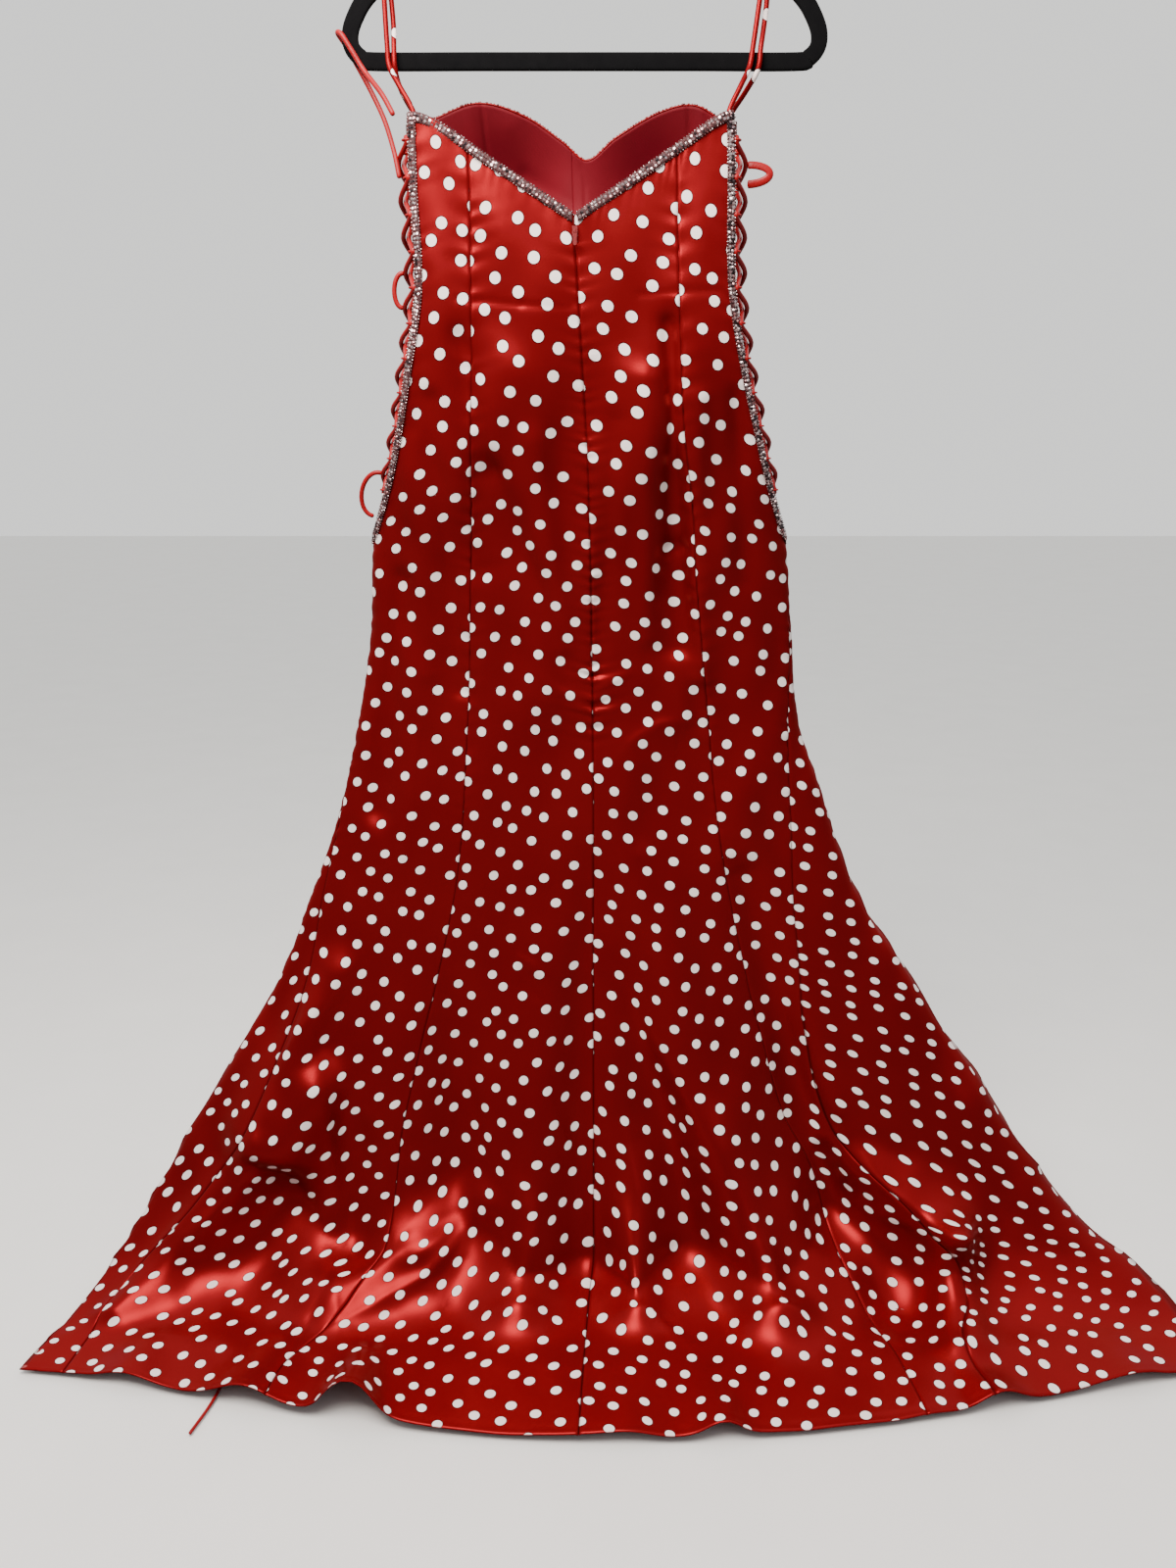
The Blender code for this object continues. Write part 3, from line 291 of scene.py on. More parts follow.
BACK_CRESTS = (
    # the sharp bend where the skirt breaks on the floor: left of the facet, the zigzag and the right
    Crest(-0.0080, 0.045, 0.020, (
        (-0.535, 1.520), (-0.510, 1.474), (-0.476, 1.444), (-0.450, 1.418), (-0.417, 1.395),
        (-0.384, 1.362), (-0.358, 1.378), (-0.331, 1.410), (-0.307, 1.432), (-0.284, 1.458),
        (-0.250, 1.457), (-0.219, 1.444), (-0.202, 1.424), (-0.180, 1.406),
    )),
    Crest(-0.0085, 0.040, 0.018, (
        (-0.180, 1.430), (-0.125, 1.410), (-0.104, 1.440), (-0.076, 1.485), (-0.035, 1.472),
        (0.002, 1.458), (0.035, 1.477), (0.057, 1.503), (0.086, 1.466), (0.125, 1.440),
        (0.159, 1.466), (0.208, 1.506), (0.256, 1.457), (0.290, 1.420),
    )),
    Crest(-0.0080, 0.055, 0.020, (
        (0.320, 1.372), (0.347, 1.388), (0.398, 1.401), (0.443, 1.402), (0.486, 1.386), (0.530, 1.366),
    )),
    # the facet left of the skirt: its crisp right edge, its left fold and the crease down to the hem
    Crest(0.0120, 0.050, 0.014, (
        (-0.311, 1.250), (-0.305, 1.310), (-0.300, 1.370), (-0.292, 1.415), (-0.284, 1.458),
    )),
    Crest(0.0090, 0.040, 0.012, (
        (-0.287, 1.164), (-0.332, 1.214), (-0.369, 1.265), (-0.383, 1.310), (-0.371, 1.362),
    )),
    Crest(-0.0060, 0.018, 0.016, ((-0.284, 1.458), (-0.298, 1.511), (-0.312, 1.565), (-0.316, 1.640))),
    # oblique ridges between the facet and the zigzag
    Crest(0.0080, 0.024, 0.010, (
        (-0.262, 1.532), (-0.227, 1.505), (-0.183, 1.480), (-0.150, 1.444), (-0.128, 1.418),
    )),
    Crest(0.0040, 0.014, 0.009, ((-0.200, 1.466), (-0.172, 1.446), (-0.146, 1.420))),
    # long diagonal ridge right of the centre seam, and two short ones beside it
    Crest(0.0085, 0.038, 0.018, (
        (0.040, 1.145), (0.078, 1.210), (0.116, 1.276), (0.154, 1.339), (0.184, 1.400), (0.212, 1.475),
    )),
    Crest(0.0045, 0.020, 0.014, ((-0.052, 1.270), (-0.026, 1.340), (-0.006, 1.390), (0.010, 1.440))),
    Crest(0.0038, 0.016, 0.014, ((0.044, 1.330), (0.056, 1.380), (0.080, 1.436))),
    # the ridge that winds down right of the skirt
    Crest(0.0070, 0.015, 0.034, (
        (0.306, 1.365), (0.318, 1.412), (0.342, 1.420), (0.368, 1.424), (0.392, 1.438), (0.403, 1.460),
        (0.405, 1.486), (0.397, 1.512), (0.397, 1.557), (0.394, 1.600),
    )),
    # a small crumple, the hip's crescent and the gathers at the foot of the zip
    Crest(0.0036, 0.009, 0.006, ((-0.087, 1.160), (-0.076, 1.130), (-0.059, 1.140), (-0.040, 1.156))),
    Crest(-0.0028, 0.008, 0.008, ((-0.070, 1.146), (-0.058, 1.162), (-0.050, 1.180))),
    Crest(0.0044, 0.018, 0.007, (
        (0.040, 0.890), (0.058, 0.872), (0.082, 0.858), (0.104, 0.854), (0.118, 0.860),
    )),
    Crest(0.0034, 0.010, 0.006, ((0.006, 0.852), (0.020, 0.846), (0.042, 0.838))),
    Crest(0.0028, 0.008, 0.005, ((0.006, 0.822), (0.024, 0.812), (0.050, 0.798))),
    Crest(0.0026, 0.008, 0.005, ((-0.050, 0.800), (-0.028, 0.822), (-0.006, 0.838))),
)
FRONT_CRESTS = (
    Crest(0.0050, 0.034, 0.012, (
        (-0.220, 1.430), (-0.150, 1.462), (-0.095, 1.436), (-0.030, 1.470), (0.030, 1.446), (0.095, 1.474),
        (0.160, 1.440), (0.230, 1.452),
    )),
    Crest(0.0070, 0.030, 0.016, ((-0.180, 1.120), (-0.212, 1.230), (-0.246, 1.330), (-0.262, 1.430))),
    Crest(0.0070, 0.018, 0.032, ((0.150, 1.100), (0.188, 1.220), (0.226, 1.320), (0.246, 1.430))),
)
FRONT_CREASES = (
    Fold(-0.130, 0.432, -0.050, 0.438, 0.005, 0.006, -0.0018, -0.0020),
    Fold(0.040, 0.436, 0.130, 0.430, 0.005, 0.006, -0.0018, -0.0020),
    Fold(-0.210, 0.840, -0.232, 0.990, 0.006, 0.008, 0.0018, 0.0024),
    Fold(0.204, 0.860, 0.236, 1.000, 0.006, 0.008, 0.0018, 0.0024),
    Fold(-0.300, 1.300, -0.230, 1.352, 0.008, 0.010, 0.0034, 0.0030),
    Fold(0.296, 1.310, 0.240, 1.372, 0.008, 0.010, 0.0032, 0.0030),
    Fold(-0.060, 1.420, 0.030, 1.440, 0.010, 0.012, 0.0030, 0.0026),
    Fold(0.120, 1.432, 0.190, 1.410, 0.010, 0.012, 0.0030, 0.0026),
)

# half width of a crest's rounded top, and how far along its sine of fading its ends are
CREST_ROUND, CREST_END = 2.2 * MM, 0.09

# half of the hanger's middle line, x and z, from the bar's middle round the end to the neck
HANGER_LINE = (
    (0.0, -0.222), (0.100, -0.222), (0.194, -0.222), (0.2060, -0.2190), (0.2140, -0.2100),
    (0.2145, -0.1980), (0.2090, -0.1850), (0.2000, -0.1720), (0.1860, -0.1600),
    (0.1600, -0.1460), (0.1200, -0.1310), (0.0700, -0.1170), (0.0280, -0.1080), (0.0, -0.1050),
)
# routes of the cords, from end to end
STRAP_LEFT = (
    (-0.1550, -0.0230, -0.2860), (-0.1570, -0.0228, -0.2680), (-0.1700, -0.0170, -0.2450),
    (-0.1790, -0.0080, -0.2280), (-0.1805, -0.0062, -0.2100), (-0.1815, -0.0056, -0.1750),
    (-0.1820, -0.0055, -0.1510), (-0.1815, -0.0044, -0.1460), (-0.1810, 0.0, -0.1440),
    (-0.1800, 0.0044, -0.1460), (-0.1785, 0.0055, -0.1510),
    (-0.1765, 0.0056, -0.1750), (-0.1750, 0.0010, -0.1950), (-0.1745, -0.0058, -0.2120),
    (-0.1740, -0.0068, -0.2300), (-0.1700, 0.0030, -0.2460), (-0.1610, 0.0300, -0.2620),
    (-0.1560, 0.0370, -0.2800),
)
STRAP_RIGHT = (
    (0.1300, -0.0229, -0.2860), (0.1320, -0.0227, -0.2680), (0.1430, -0.0170, -0.2450),
    (0.1510, -0.0080, -0.2280), (0.1540, -0.0062, -0.2100), (0.1590, -0.0056, -0.1700),
    (0.1620, -0.0055, -0.1420), (0.1630, -0.0044, -0.1370), (0.1640, 0.0, -0.1350),
    (0.1650, 0.0044, -0.1370), (0.1660, 0.0055, -0.1420), (0.1665, 0.0056, -0.1700),
    (0.1640, 0.0010, -0.1930), (0.1610, -0.0058, -0.2120),
    (0.1590, -0.0068, -0.2300), (0.1500, 0.0030, -0.2450), (0.1370, 0.0300, -0.2620),
    (0.1320, 0.0370, -0.2800),
)
LACE_CATCH = (
    (-0.1735, -0.0120, -0.3200), (-0.1780, -0.0080, -0.2980), (-0.1870, 0.0010, -0.2700),
    (-0.1990, 0.0068, -0.2450), (-0.2100, 0.0072, -0.2250), (-0.2200, 0.0064, -0.2080),
    (-0.2262, 0.0, -0.1990), (-0.2215, -0.0064, -0.2020), (-0.2130, -0.0070, -0.2150),
    (-0.2020, -0.0085, -0.2320), (-0.1850, -0.0230, -0.2540), (-0.1745, -0.0300, -0.2720),
)
LACE_TAIL = (
    (-0.2080, 0.0640, -0.6480), (-0.2090, 0.0700, -0.7000), (-0.2150, 0.0800, -0.8000),
    (-0.2350, 0.0880, -0.9500), (-0.2650, 0.0850, -1.1000), (-0.3050, 0.0750, -1.2400),
    (-0.3400, 0.0580, -1.3600), (-0.3620, 0.0350, -1.4400), (-0.3700, 0.0100, -1.4850),
    (-0.3740, -0.0250, -1.5027), (-0.3760, -0.0700, -1.5030), (-0.3770, -0.1400, -1.5036),
    (-0.3780, -0.2000, -1.5040), (-0.3830, -0.2400, -1.5055), (-0.3930, -0.2780, -1.5064),
)


def ease(share: Array) -> Array:
    """A share from 0 to 1 that starts and ends softly."""
    return share * share * (3.0 - 2.0 * share)


def unit(vectors: Array) -> Array:
    """Vectors, one to a row, at a length of 1."""
    return vectors / np.linalg.norm(vectors, axis=1, keepdims=True)


def run_lengths(points: Array) -> Array:
    """Lengths along each row of points, from 0 at its first."""
    steps = np.linalg.norm(np.diff(points, axis=-2), axis=-1)
    return np.concatenate((np.zeros_like(steps[..., :1]), np.cumsum(steps, axis=-1)), axis=-1)


def under_neck(nominal: Array, top: Array) -> Array:
    """Lengths down the cloth of rows that start at its top edge and are level from NECK_END on.

    Args:
        nominal: The rows' nominal lengths down.
        top: The top edge's length down at each column.

    Returns:
        The length down at each point.
    """
    share = np.clip((nominal - CORNER_DOWN) / (NECK_END - CORNER_DOWN), 0.0, 1.0)
    return np.where(nominal < NECK_END, top + (NECK_END - top) * share, nominal)


def smooth(rows: tuple, column: str, key: str, at: Array | float) -> Array:
    """Hermite curve through one named column of a table.

    Args:
        rows: The table's rows, sorted by key.
        column: The name of the column that is read.
        key: The name of the column that places the rows.
        at: Where the curve is read.

    Returns:
        The column's values at those places.
    """
    xs = np.array([getattr(row, key) for row in rows])
    ys = np.array([getattr(row, column) for row in rows])
    at = np.clip(np.asarray(at, float), xs[0], xs[-1])
    steps = np.diff(ys) / np.diff(xs)
    slopes = np.concatenate(([steps[0]], 0.5 * (steps[1:] + steps[:-1]), [steps[-1]]))
    i = np.clip(np.searchsorted(xs, at, side="right") - 1, 0, len(xs) - 2)
    h = xs[i + 1] - xs[i]
    t = (at - xs[i]) / h
    return (
        (2 * t**3 - 3 * t**2 + 1) * ys[i]
        + (t**3 - 2 * t**2 + t) * h * slopes[i]
        + (3 * t**2 - 2 * t**3) * ys[i + 1]
        + (t**3 - t**2) * h * slopes[i + 1]
    )


def fold_height(folds: tuple[Fold, ...], x: Array, down: Array) -> Array:
    """Sum of the folds' heights at points of the cloth.

    Args:
        folds: The ridges and troughs.
        x: The points' x.
        down: The points' length down the cloth.

    Returns:
        The height at each point.
    """
    total = np.zeros(np.broadcast(x, down).shape)
    for f in folds:
        ax, ad = f.x1 - f.x0, f.down1 - f.down0
        s = np.clip(((x - f.x0) * ax + (down - f.down0) * ad) / (ax * ax + ad * ad), 0.0, 1.0)
        away = np.hypot(x - f.x0 - s * ax, down - f.down0 - s * ad)
        width = f.width0 + s * (f.width1 - f.width0)
        total += (f.height0 + s * (f.height1 - f.height0)) * np.exp(-((away / width) ** 2))
    return total


def crest_height(crests: tuple[Crest, ...], x: Array, down: Array) -> Array:
    """Sum of the crests' heights at points of the cloth.

    Args:
        crests: The crisp ridges and creases.
        x: The points' x.
        down: The points' length down the cloth.

    Returns:
        The height at each point.
    """
    total = np.zeros(np.broadcast(x, down).shape)
    for crest in crests:
        away, side, reached = np.full(total.shape, np.inf), np.zeros(total.shape), np.zeros(total.shape)
        start = 0.0
        for (x0, down0), (x1, down1) in zip(crest.line[:-1], crest.line[1:]):
            ax, ad = x1 - x0, down1 - down0
            length = math.hypot(ax, ad)
            s = np.clip(((x - x0) * ax + (down - down0) * ad) / length**2, 0.0, 1.0)
            ex, ed = x - x0 - s * ax, down - down0 - s * ad
            distance = np.hypot(ex, ed)
            closer = distance < away
            away = np.where(closer, distance, away)
            side = np.where(closer, ax * ed - ad * ex, side)
            reached = np.where(closer, start + s * length, reached)
            start += length
        blend = 0.5 + 0.5 * np.tanh(side / (length * CREST_ROUND))
        width = crest.high + (crest.low - crest.high) * blend
        fade = np.sin(math.pi * (CREST_END + (1.0 - 2.0 * CREST_END) * reached / start))
        total += crest.height * fade * np.exp(-(np.hypot(away, CREST_ROUND) - CREST_ROUND) / width)
    return total


@dataclass
class Cloth:
    """The gown's cloth as one surface of r, which runs once round the gown, and down.

    r is 0 at the left edge, 1 at the centre back, 2 at the right edge and 3 at the centre front.
    """

    edge_crowding: float = 0.75
    edge_fade: float = 0.10
    fold_turn: tuple[float, float] = (1.34, 1.60)
    floor_z: float = -1.510
    floor_clearance: float = 1.5 * MM
    floor_softness: float = 2.0 * MM
    top: float = LEVELS[0].down
    hem: float = LEVELS[-1].down

    def level(self, column: str, down: Array | float) -> Array:
        """One column of the levels at lengths down the cloth."""
        return smooth(LEVELS, column, "down", down)

    def base(self, r: Array, down: Array) -> tuple[Array, Array, Array]:
        """The gown's smooth form, without folds.

        Args:
            r: Places round the gown.
            down: Lengths down the cloth.

        Returns:
            The points, their share of the half width, and which of them are behind.
        """
        r = np.mod(np.asarray(r, float), 4.0)
        down = np.asarray(down, float)
        behind = r <= 2.0
        t = np.where(behind, r - 1.0, 3.0 - r)
        k = self.edge_crowding * math.pi / 2
        share = np.sin(t * k) / math.sin(k)
        left, right = self.level("left", down), self.level("right", down)
        x = 0.5 * (left + right) + 0.5 * (right - left) * share
        rim = np.clip(1.0 - np.abs(share) ** self.level("square", down), 0.0, 1.0)
        y_blend = rim ** self.level("root", down)
        z_blend = np.sqrt(np.clip(1.0 - share**4, 0.0, 1.0))
        side_y, side_z = self.level("side_y", down), self.level("side_z", down)
        y_far = np.where(behind, self.level("back_y", down), self.level("front_y", down))
        z_far = np.where(behind, self.level("back_z", down), self.level("front_z", down))
        y = side_y + (y_far - side_y) * y_blend
        z = side_z + (z_far - side_z) * z_blend
        return np.stack(np.broadcast_arrays(x, y, z), -1), share, behind

    def points(self, r: Array, down: Array, offset: Array | float = 0.0) -> Array:
        """Points of the cloth's outer face with its large folds, or of a face moved out from it.

        Args:
            r: Places round the gown.
            down: Lengths down the cloth.
            offset: How far out from the face, in metres.

        Returns:
            The points, with x, y and z last.
        """
        r, down = np.broadcast_arrays(np.asarray(r, float), np.asarray(down, float))
        points, share, behind = self.base(r, down)
        fade = ease(np.clip((1.0 - np.abs(share)) / self.edge_fade, 0.0, 1.0))
        x = points[..., 0]
        folds = [fold_height(rows, x, down) for rows in (BACK_FOLDS, FRONT_FOLDS)]
        height = fade * np.where(behind, *folds)
        turned = np.clip((down - self.fold_turn[0]) / (self.fold_turn[1] - self.fold_turn[0]), 0.0, 1.0)
        angle = ease(turned) * math.pi / 2
        out = np.where(behind, -1.0, 1.0) * height
        points[..., 1] += out * np.cos(angle)
        points[..., 2] -= out * np.sin(angle)
        above = points[..., 2] - self.floor_z - self.floor_clearance
        kept_above = 0.5 * (above + np.hypot(above, self.floor_softness))
        points[..., 2] = self.floor_z + self.floor_clearance + kept_above
        if np.any(offset):
            points = points + self.normals(r, down) * np.asarray(offset, float)[..., None]
        return points

    def normals(self, r: Array, down: Array) -> Array:
        """Outward unit normals of the folded cloth."""
        step = 1e-4
        across = self.points(r + step, down) - self.points(r - step, down)
        low, high = np.clip(down - step, self.top, self.hem), np.clip(down + step, self.top, self.hem)
        n = np.cross(self.points(r, high) - self.points(r, low), across)
        return n / np.maximum(np.linalg.norm(n, axis=-1, keepdims=True), 1e-12)

    def r_at_x(self, x: Array, down: Array, front: bool = False) -> Array:
        """The r where the level at down has this x, on the back or the front."""
        left, right = self.level("left", down), self.level("right", down)
        share = np.clip((2 * x - left - right) / (right - left), -1.0, 1.0)
        k = self.edge_crowding * math.pi / 2
        t = np.arcsin(share * math.sin(k)) / k
        return 3.0 - t if front else 1.0 + t

    def r_from_side(self, side: Side, length: Array, down: Array) -> Array:
        """The r at lengths round the sections from a side line.

        Args:
            side: The side line that the length starts from.
            length: The length round, over 0 towards the back.
            down: The sections.

        Returns:
            The place round the gown at each section.
        """
        sign = 1.0 if side is Side.LEFT else -1.0
        down = np.atleast_1d(np.asarray(down, float))
        length = np.broadcast_to(np.asarray(length, float), down.shape)
        out = np.empty(down.shape)
        for i, (d, e) in enumerate(zip(down, length)):
            steps = np.linspace(0.0, 0.6, 400) * (math.copysign(1.0, e) * sign)
            line = self.base(side.value + steps, np.full(steps.shape, d))[0]
            found = np.interp(abs(e), run_lengths(line), np.abs(steps))
            out[i] = side.value + found * math.copysign(1.0, steps[-1])
        return out

    def neck_down(self, r: Array, extra: float = 0.0) -> Array:
        """The top edge's length down at r, moved down by extra."""
        points, _, behind = self.base(r, np.full(np.shape(r), CORNER_DOWN))
        x = points[..., 0]
        legs = [smooth(leg, "down", "x", x) for leg in (BACK_NECK_LEFT, BACK_NECK_RIGHT)]
        back = np.where(x < BACK_NECK_LEFT[-1].x, legs[0], legs[1])
        return np.where(behind, back, smooth(FRONT_NECK, "down", "x", x)) + extra


def linear(code: str) -> tuple[float, float, float, float]:
    """The linear colour of an sRGB hex code."""
    parts = [int(code[i : i + 2], 16) / 255 for i in (1, 3, 5)]
    red, green, blue = (c / 12.92 if c <= 0.04045 else ((c + 0.055) / 1.055) ** 2.4 for c in parts)
    return red, green, blue, 1.0


class Finish:
    """One material under construction, with a single way to add each kind of node."""

    FACTOR, FIRST, SECOND, MIXED = 0, 6, 7, 2
    # the bands of a wave texture are this far apart at a scale of 1, in metres
    BAND = 0.314

    def __init__(self, name: str, **shader: object) -> None:
        """Start a material.

        Args:
            name: What the material is called.
            **shader: Plain values of the Principled shader's sockets, with underscores for spaces.
        """
        self.material = bpy.data.materials.new(name)
        self.material.use_nodes = True
        self.tree = self.material.node_tree
        self.shader = self.tree.nodes["Principled BSDF"]
        for socket, value in shader.items():
            self.shader.inputs[socket.replace("_", " ")].default_value = value

    def add(
        self, kind: str, links: dict | None = None, values: dict | None = None, **settings: object
    ) -> bpy.types.Node:
        """Add a node.

        Args:
            kind: The node's type, without its ShaderNode prefix.
            links: Sockets to link to its inputs, by input name or number.
            values: Values of its inputs, by input name or number.
            **settings: Its attributes.

        Returns:
            The new node.
        """
        node = self.tree.nodes.new("ShaderNode" + kind)
        for name, value in settings.items():
            setattr(node, name, value)
        for name, value in (values or {}).items():
            node.inputs[name].default_value = value
        for name, socket in (links or {}).items():
            self.tree.links.new(socket, node.inputs[name])
        return node

    def uv(self) -> bpy.types.NodeSocket:
        """The place on the flat cloth, in metres."""
        return self.add("UVMap", uv_map="UVMap").outputs["UV"]

    def noise(self, at: bpy.types.NodeSocket, scale: float, detail: float) -> bpy.types.NodeSocket:
        """A cloudy grey at places."""
        return self.add("TexNoise", {"Vector": at}, {"Scale": scale, "Detail": detail}).outputs["Fac"]

    def yarns(
        self, at: bpy.types.NodeSocket, pitch: float, direction: str, **values: float
    ) -> bpy.types.NodeSocket:
        """The grey bands of yarns, one light and one dark to every two of them.

        Args:
            at: The places.
            pitch: How far apart the yarns are.
            direction: What the bands follow.
            **values: Other inputs of the wave texture.

        Returns:
            The grey's socket.
        """
        values["Scale"] = self.BAND / pitch / 2.0
        wave = self.add("TexWave", {"Vector": at}, values, wave_type="BANDS", bands_direction=direction)
        return wave.outputs["Fac"]

    def mapped(self, value: bpy.types.NodeSocket, **limits: float) -> bpy.types.NodeSocket:
        """A value mapped from one range to another.

        Args:
            value: The value.
            **limits: The ranges' ends, by input name with underscores for spaces.

        Returns:
            The mapped value's socket.
        """
        values = {name.replace("_", " "): limit for name, limit in limits.items()}
        return self.add("MapRange", {"Value": value}, values).outputs[0]

    def mix(
        self, factor: bpy.types.NodeSocket, first: bpy.types.NodeSocket | str,
        second: bpy.types.NodeSocket | str,
    ) -> bpy.types.NodeSocket:
        """Mix two colours.

        Args:
            factor: How much of the second is in the mix.
            first: The first colour, a socket or an sRGB hex code.
            second: The second one.

        Returns:
            The mixed colour's socket.
        """
        values, links = {}, {self.FACTOR: factor}
        for place, colour in ((self.FIRST, first), (self.SECOND, second)):
            if isinstance(colour, str):
                values[place] = linear(colour)
            else:
                links[place] = colour
        return self.add("Mix", links, values, data_type="RGBA").outputs[self.MIXED]

    def bump(
        self, height: bpy.types.NodeSocket, strength: float, distance: float,
        over: bpy.types.NodeSocket | None = None,
    ) -> bpy.types.NodeSocket:
        """The normals of a fine relief.

        Args:
            height: The relief.
            strength: How much of it shows.
            distance: How high it is, in metres.
            over: The normals of a relief that it lies on.

        Returns:
            The normals' socket.
        """
        links = {"Height": height}
        if over is not None:
            links["Normal"] = over
        return self.add("Bump", links, {"Strength": strength, "Distance": distance}).outputs["Normal"]

    def wire(self, **sockets: bpy.types.NodeSocket) -> bpy.types.Material:
        """Link sockets to the shader's inputs.

        Args:
            **sockets: The sockets, by input name with underscores for spaces.

        Returns:
            The finished material.
        """
        for name, socket in sockets.items():
            self.tree.links.new(socket, self.shader.inputs[name.replace("_", " ")])
        return self.material


@dataclass(frozen=True)
class DottedSatin:
    """Printed polyester duchess satin.

    Its long warp floats give a bright, stretched gloss, and the white dots are printed on top of the
    red with a thin dark overlap.
    """

    name: str = "printed_polyester_satin"
    ground: str = "#83161b"
    ground_shade: str = "#731016"
    dot: str = "#f9ecea"
    rim: str = "#2e0307"
    # painted shade: the colour that darkens the print in the groove between two panels, where no light
    # falls
    seam_shade_colour: str = "#43060b"
    gloss_tint: str = "#ff7a66"
    sheen_tint: str = "#ff8a70"
    dot_radius: float = 5.5 * MM
    rim_width: float = 1.0 * MM
    # how far the print's edges blur, inside the dot and up to the rim, as shares of the rim
    dot_blur: float = 0.3
    rim_blur: float = 0.2
    dot_pitch: float = 27.4 * MM
    scatter: float = 0.40
    # how far the rows of dots wander, over about a fifth of a metre
    wander: float = 11.0 * MM
    wander_scale: float = 5.0
    turn: float = math.radians(24)
    cloud_scale: float = 11.0
    # satin yarns are about 0.15 mm apart, drawn at 0.6 mm so that they show in a close view
    yarn_pitch: float = 0.6 * MM
    yarn_height: float = 0.05 * MM
    slub_scale: float = 55.0
    slub_height: float = 0.5 * MM
    roughness: float = 0.33
    specular: float = 0.10
    stretch: float = 0.35
    sheen: float = 0.01
    # light that comes back out of the coloured floats is red, as a metal's would be
    lustre: float = 0.50

    def build(self) -> bpy.types.Material:
        """Make the material, with its dots laid out in the flat cloth's metres from the UV map."""
        f = Finish(
            self.name, Roughness=self.roughness, IOR=1.5, Specular_IOR_Level=self.specular,
            Anisotropic=self.stretch, Specular_Tint=linear(self.gloss_tint), Sheen_Weight=self.sheen,
            Sheen_Roughness=0.4, Sheen_Tint=linear(self.sheen_tint),
        )
        uv = f.uv()
        drift = f.add("TexNoise", {"Vector": uv}, {"Scale": self.wander_scale, "Detail": 0.0})
        centred = f.add(
            "VectorMath", {0: drift.outputs["Color"]}, {1: (0.5, 0.5, 0.5)}, operation="SUBTRACT"
        ).outputs["Vector"]
        shift = f.add("VectorMath", {0: centred}, {"Scale": 2.0 * self.wander}, operation="SCALE")
        moved = f.add("VectorMath", {0: uv, 1: shift.outputs["Vector"]}, operation="ADD").outputs["Vector"]
        turned = f.add("Mapping", {"Vector": moved}, {"Rotation": (0.0, 0.0, self.turn)}).outputs["Vector"]
        cells = f.add(
            "TexVoronoi", {"Vector": turned}, {"Scale": 1.0 / self.dot_pitch, "Randomness": self.scatter},
            voronoi_dimensions="2D", feature="F1",
        ).outputs["Distance"]
        radius, rim = self.dot_radius / self.dot_pitch, self.rim_width / self.dot_pitch
        dots = f.mapped(cells, From_Min=radius, From_Max=radius - self.dot_blur * rim)
        rims = f.mapped(cells, From_Min=radius + rim, From_Max=radius + self.rim_blur * rim)
        ground = f.mix(f.noise(uv, self.cloud_scale, 3.0), self.ground_shade, self.ground)
        printed = f.mix(dots, f.mix(rims, ground, self.rim), self.dot)
        # painted shade: the print darkens towards each seam's edge, as shade in the groove between two
        # panels
        seam_shade = f.add("Attribute", attribute_name="seam_shade").outputs["Fac"]
        sewn = f.mix(seam_shade, printed, self.seam_shade_colour)
        yarns = f.yarns(uv, self.yarn_pitch, "Y", Distortion=1.5, Detail=1.0)
        woven = f.bump(yarns, 0.10, self.yarn_height)
        normal = f.bump(f.noise(uv, self.slub_scale, 3.0), 0.25, self.slub_height, over=woven)
        # the printed pigment covers the floats, so a dot has none of their lustre
        lustre = f.mapped(dots, To_Min=self.lustre, To_Max=0.0)
        return f.wire(Base_Color=sewn, Metallic=lustre, Normal=normal)


@dataclass(frozen=True)
class PlainCloth:
    """A cloth without print: satin rouleau cord, a braid's tape, or matte crimson lining."""

    name: str
    light: str
    dark: str
    roughness: float
    sheen: float = 0.15
    specular: float = 0.4
    sheen_tint: str = "#ff9a8a"
    cloud_scale: float = 26.0
    # yarns about 0.3 mm apart, drawn at 0.8 mm so that they show in a close view
    yarn_pitch: float = 0.8 * MM
    yarn_height: float = 0.1 * MM
    crumple_scale: float = 70.0
    crumple: float = 0.4 * MM

    def build(self) -> bpy.types.Material:
        """Make the material from the cloth's own UV map."""
        f = Finish(
            self.name, Roughness=self.roughness, IOR=1.5, Specular_IOR_Level=self.specular,
            Sheen_Weight=self.sheen, Sheen_Roughness=0.5, Sheen_Tint=linear(self.sheen_tint),
        )
        uv = f.uv()
        colour = f.mix(f.noise(uv, self.cloud_scale, 4.0), self.dark, self.light)
        woven = f.bump(f.yarns(uv, self.yarn_pitch, "DIAGONAL", Distortion=2.0), 0.25, self.yarn_height)
        normal = f.bump(f.noise(uv, self.crumple_scale, 2.0), 0.3, self.crumple, over=woven)
        return f.wire(Base_Color=colour, Normal=normal)


@dataclass(frozen=True)
class Stones:
    """Cut glass rhinestones with a foiled back: each facet mirrors the room, some pink and some grey."""

    name: str = "foiled_glass_rhinestone"
    bright: str = "#c8b6b7"
    rosy: str = "#9c7071"
    smoky: str = "#4a3c40"
    roughness: float = 0.27
    # where among the stones the rosy and the smoky ones start and are full
    rosy_from: tuple[float, float] = (0.30, 0.60)
    smoky_from: tuple[float, float] = (0.72, 0.80)

    def build(self) -> bpy.types.Material:
        """Make the material, with one colour to each stone."""
        f = Finish(self.name, Metallic=0.92, Roughness=self.roughness, Coat_Weight=0.4, Coat_Roughness=0.05)
        stone = f.add("NewGeometry").outputs["Random Per Island"]
        rosy, smoky = (
            f.mapped(stone, From_Min=start, From_Max=full)
            for start, full in (self.rosy_from, self.smoky_from)
        )
        return f.wire(Base_Color=f.mix(smoky, f.mix(rosy, self.bright, self.rosy), self.smoky))


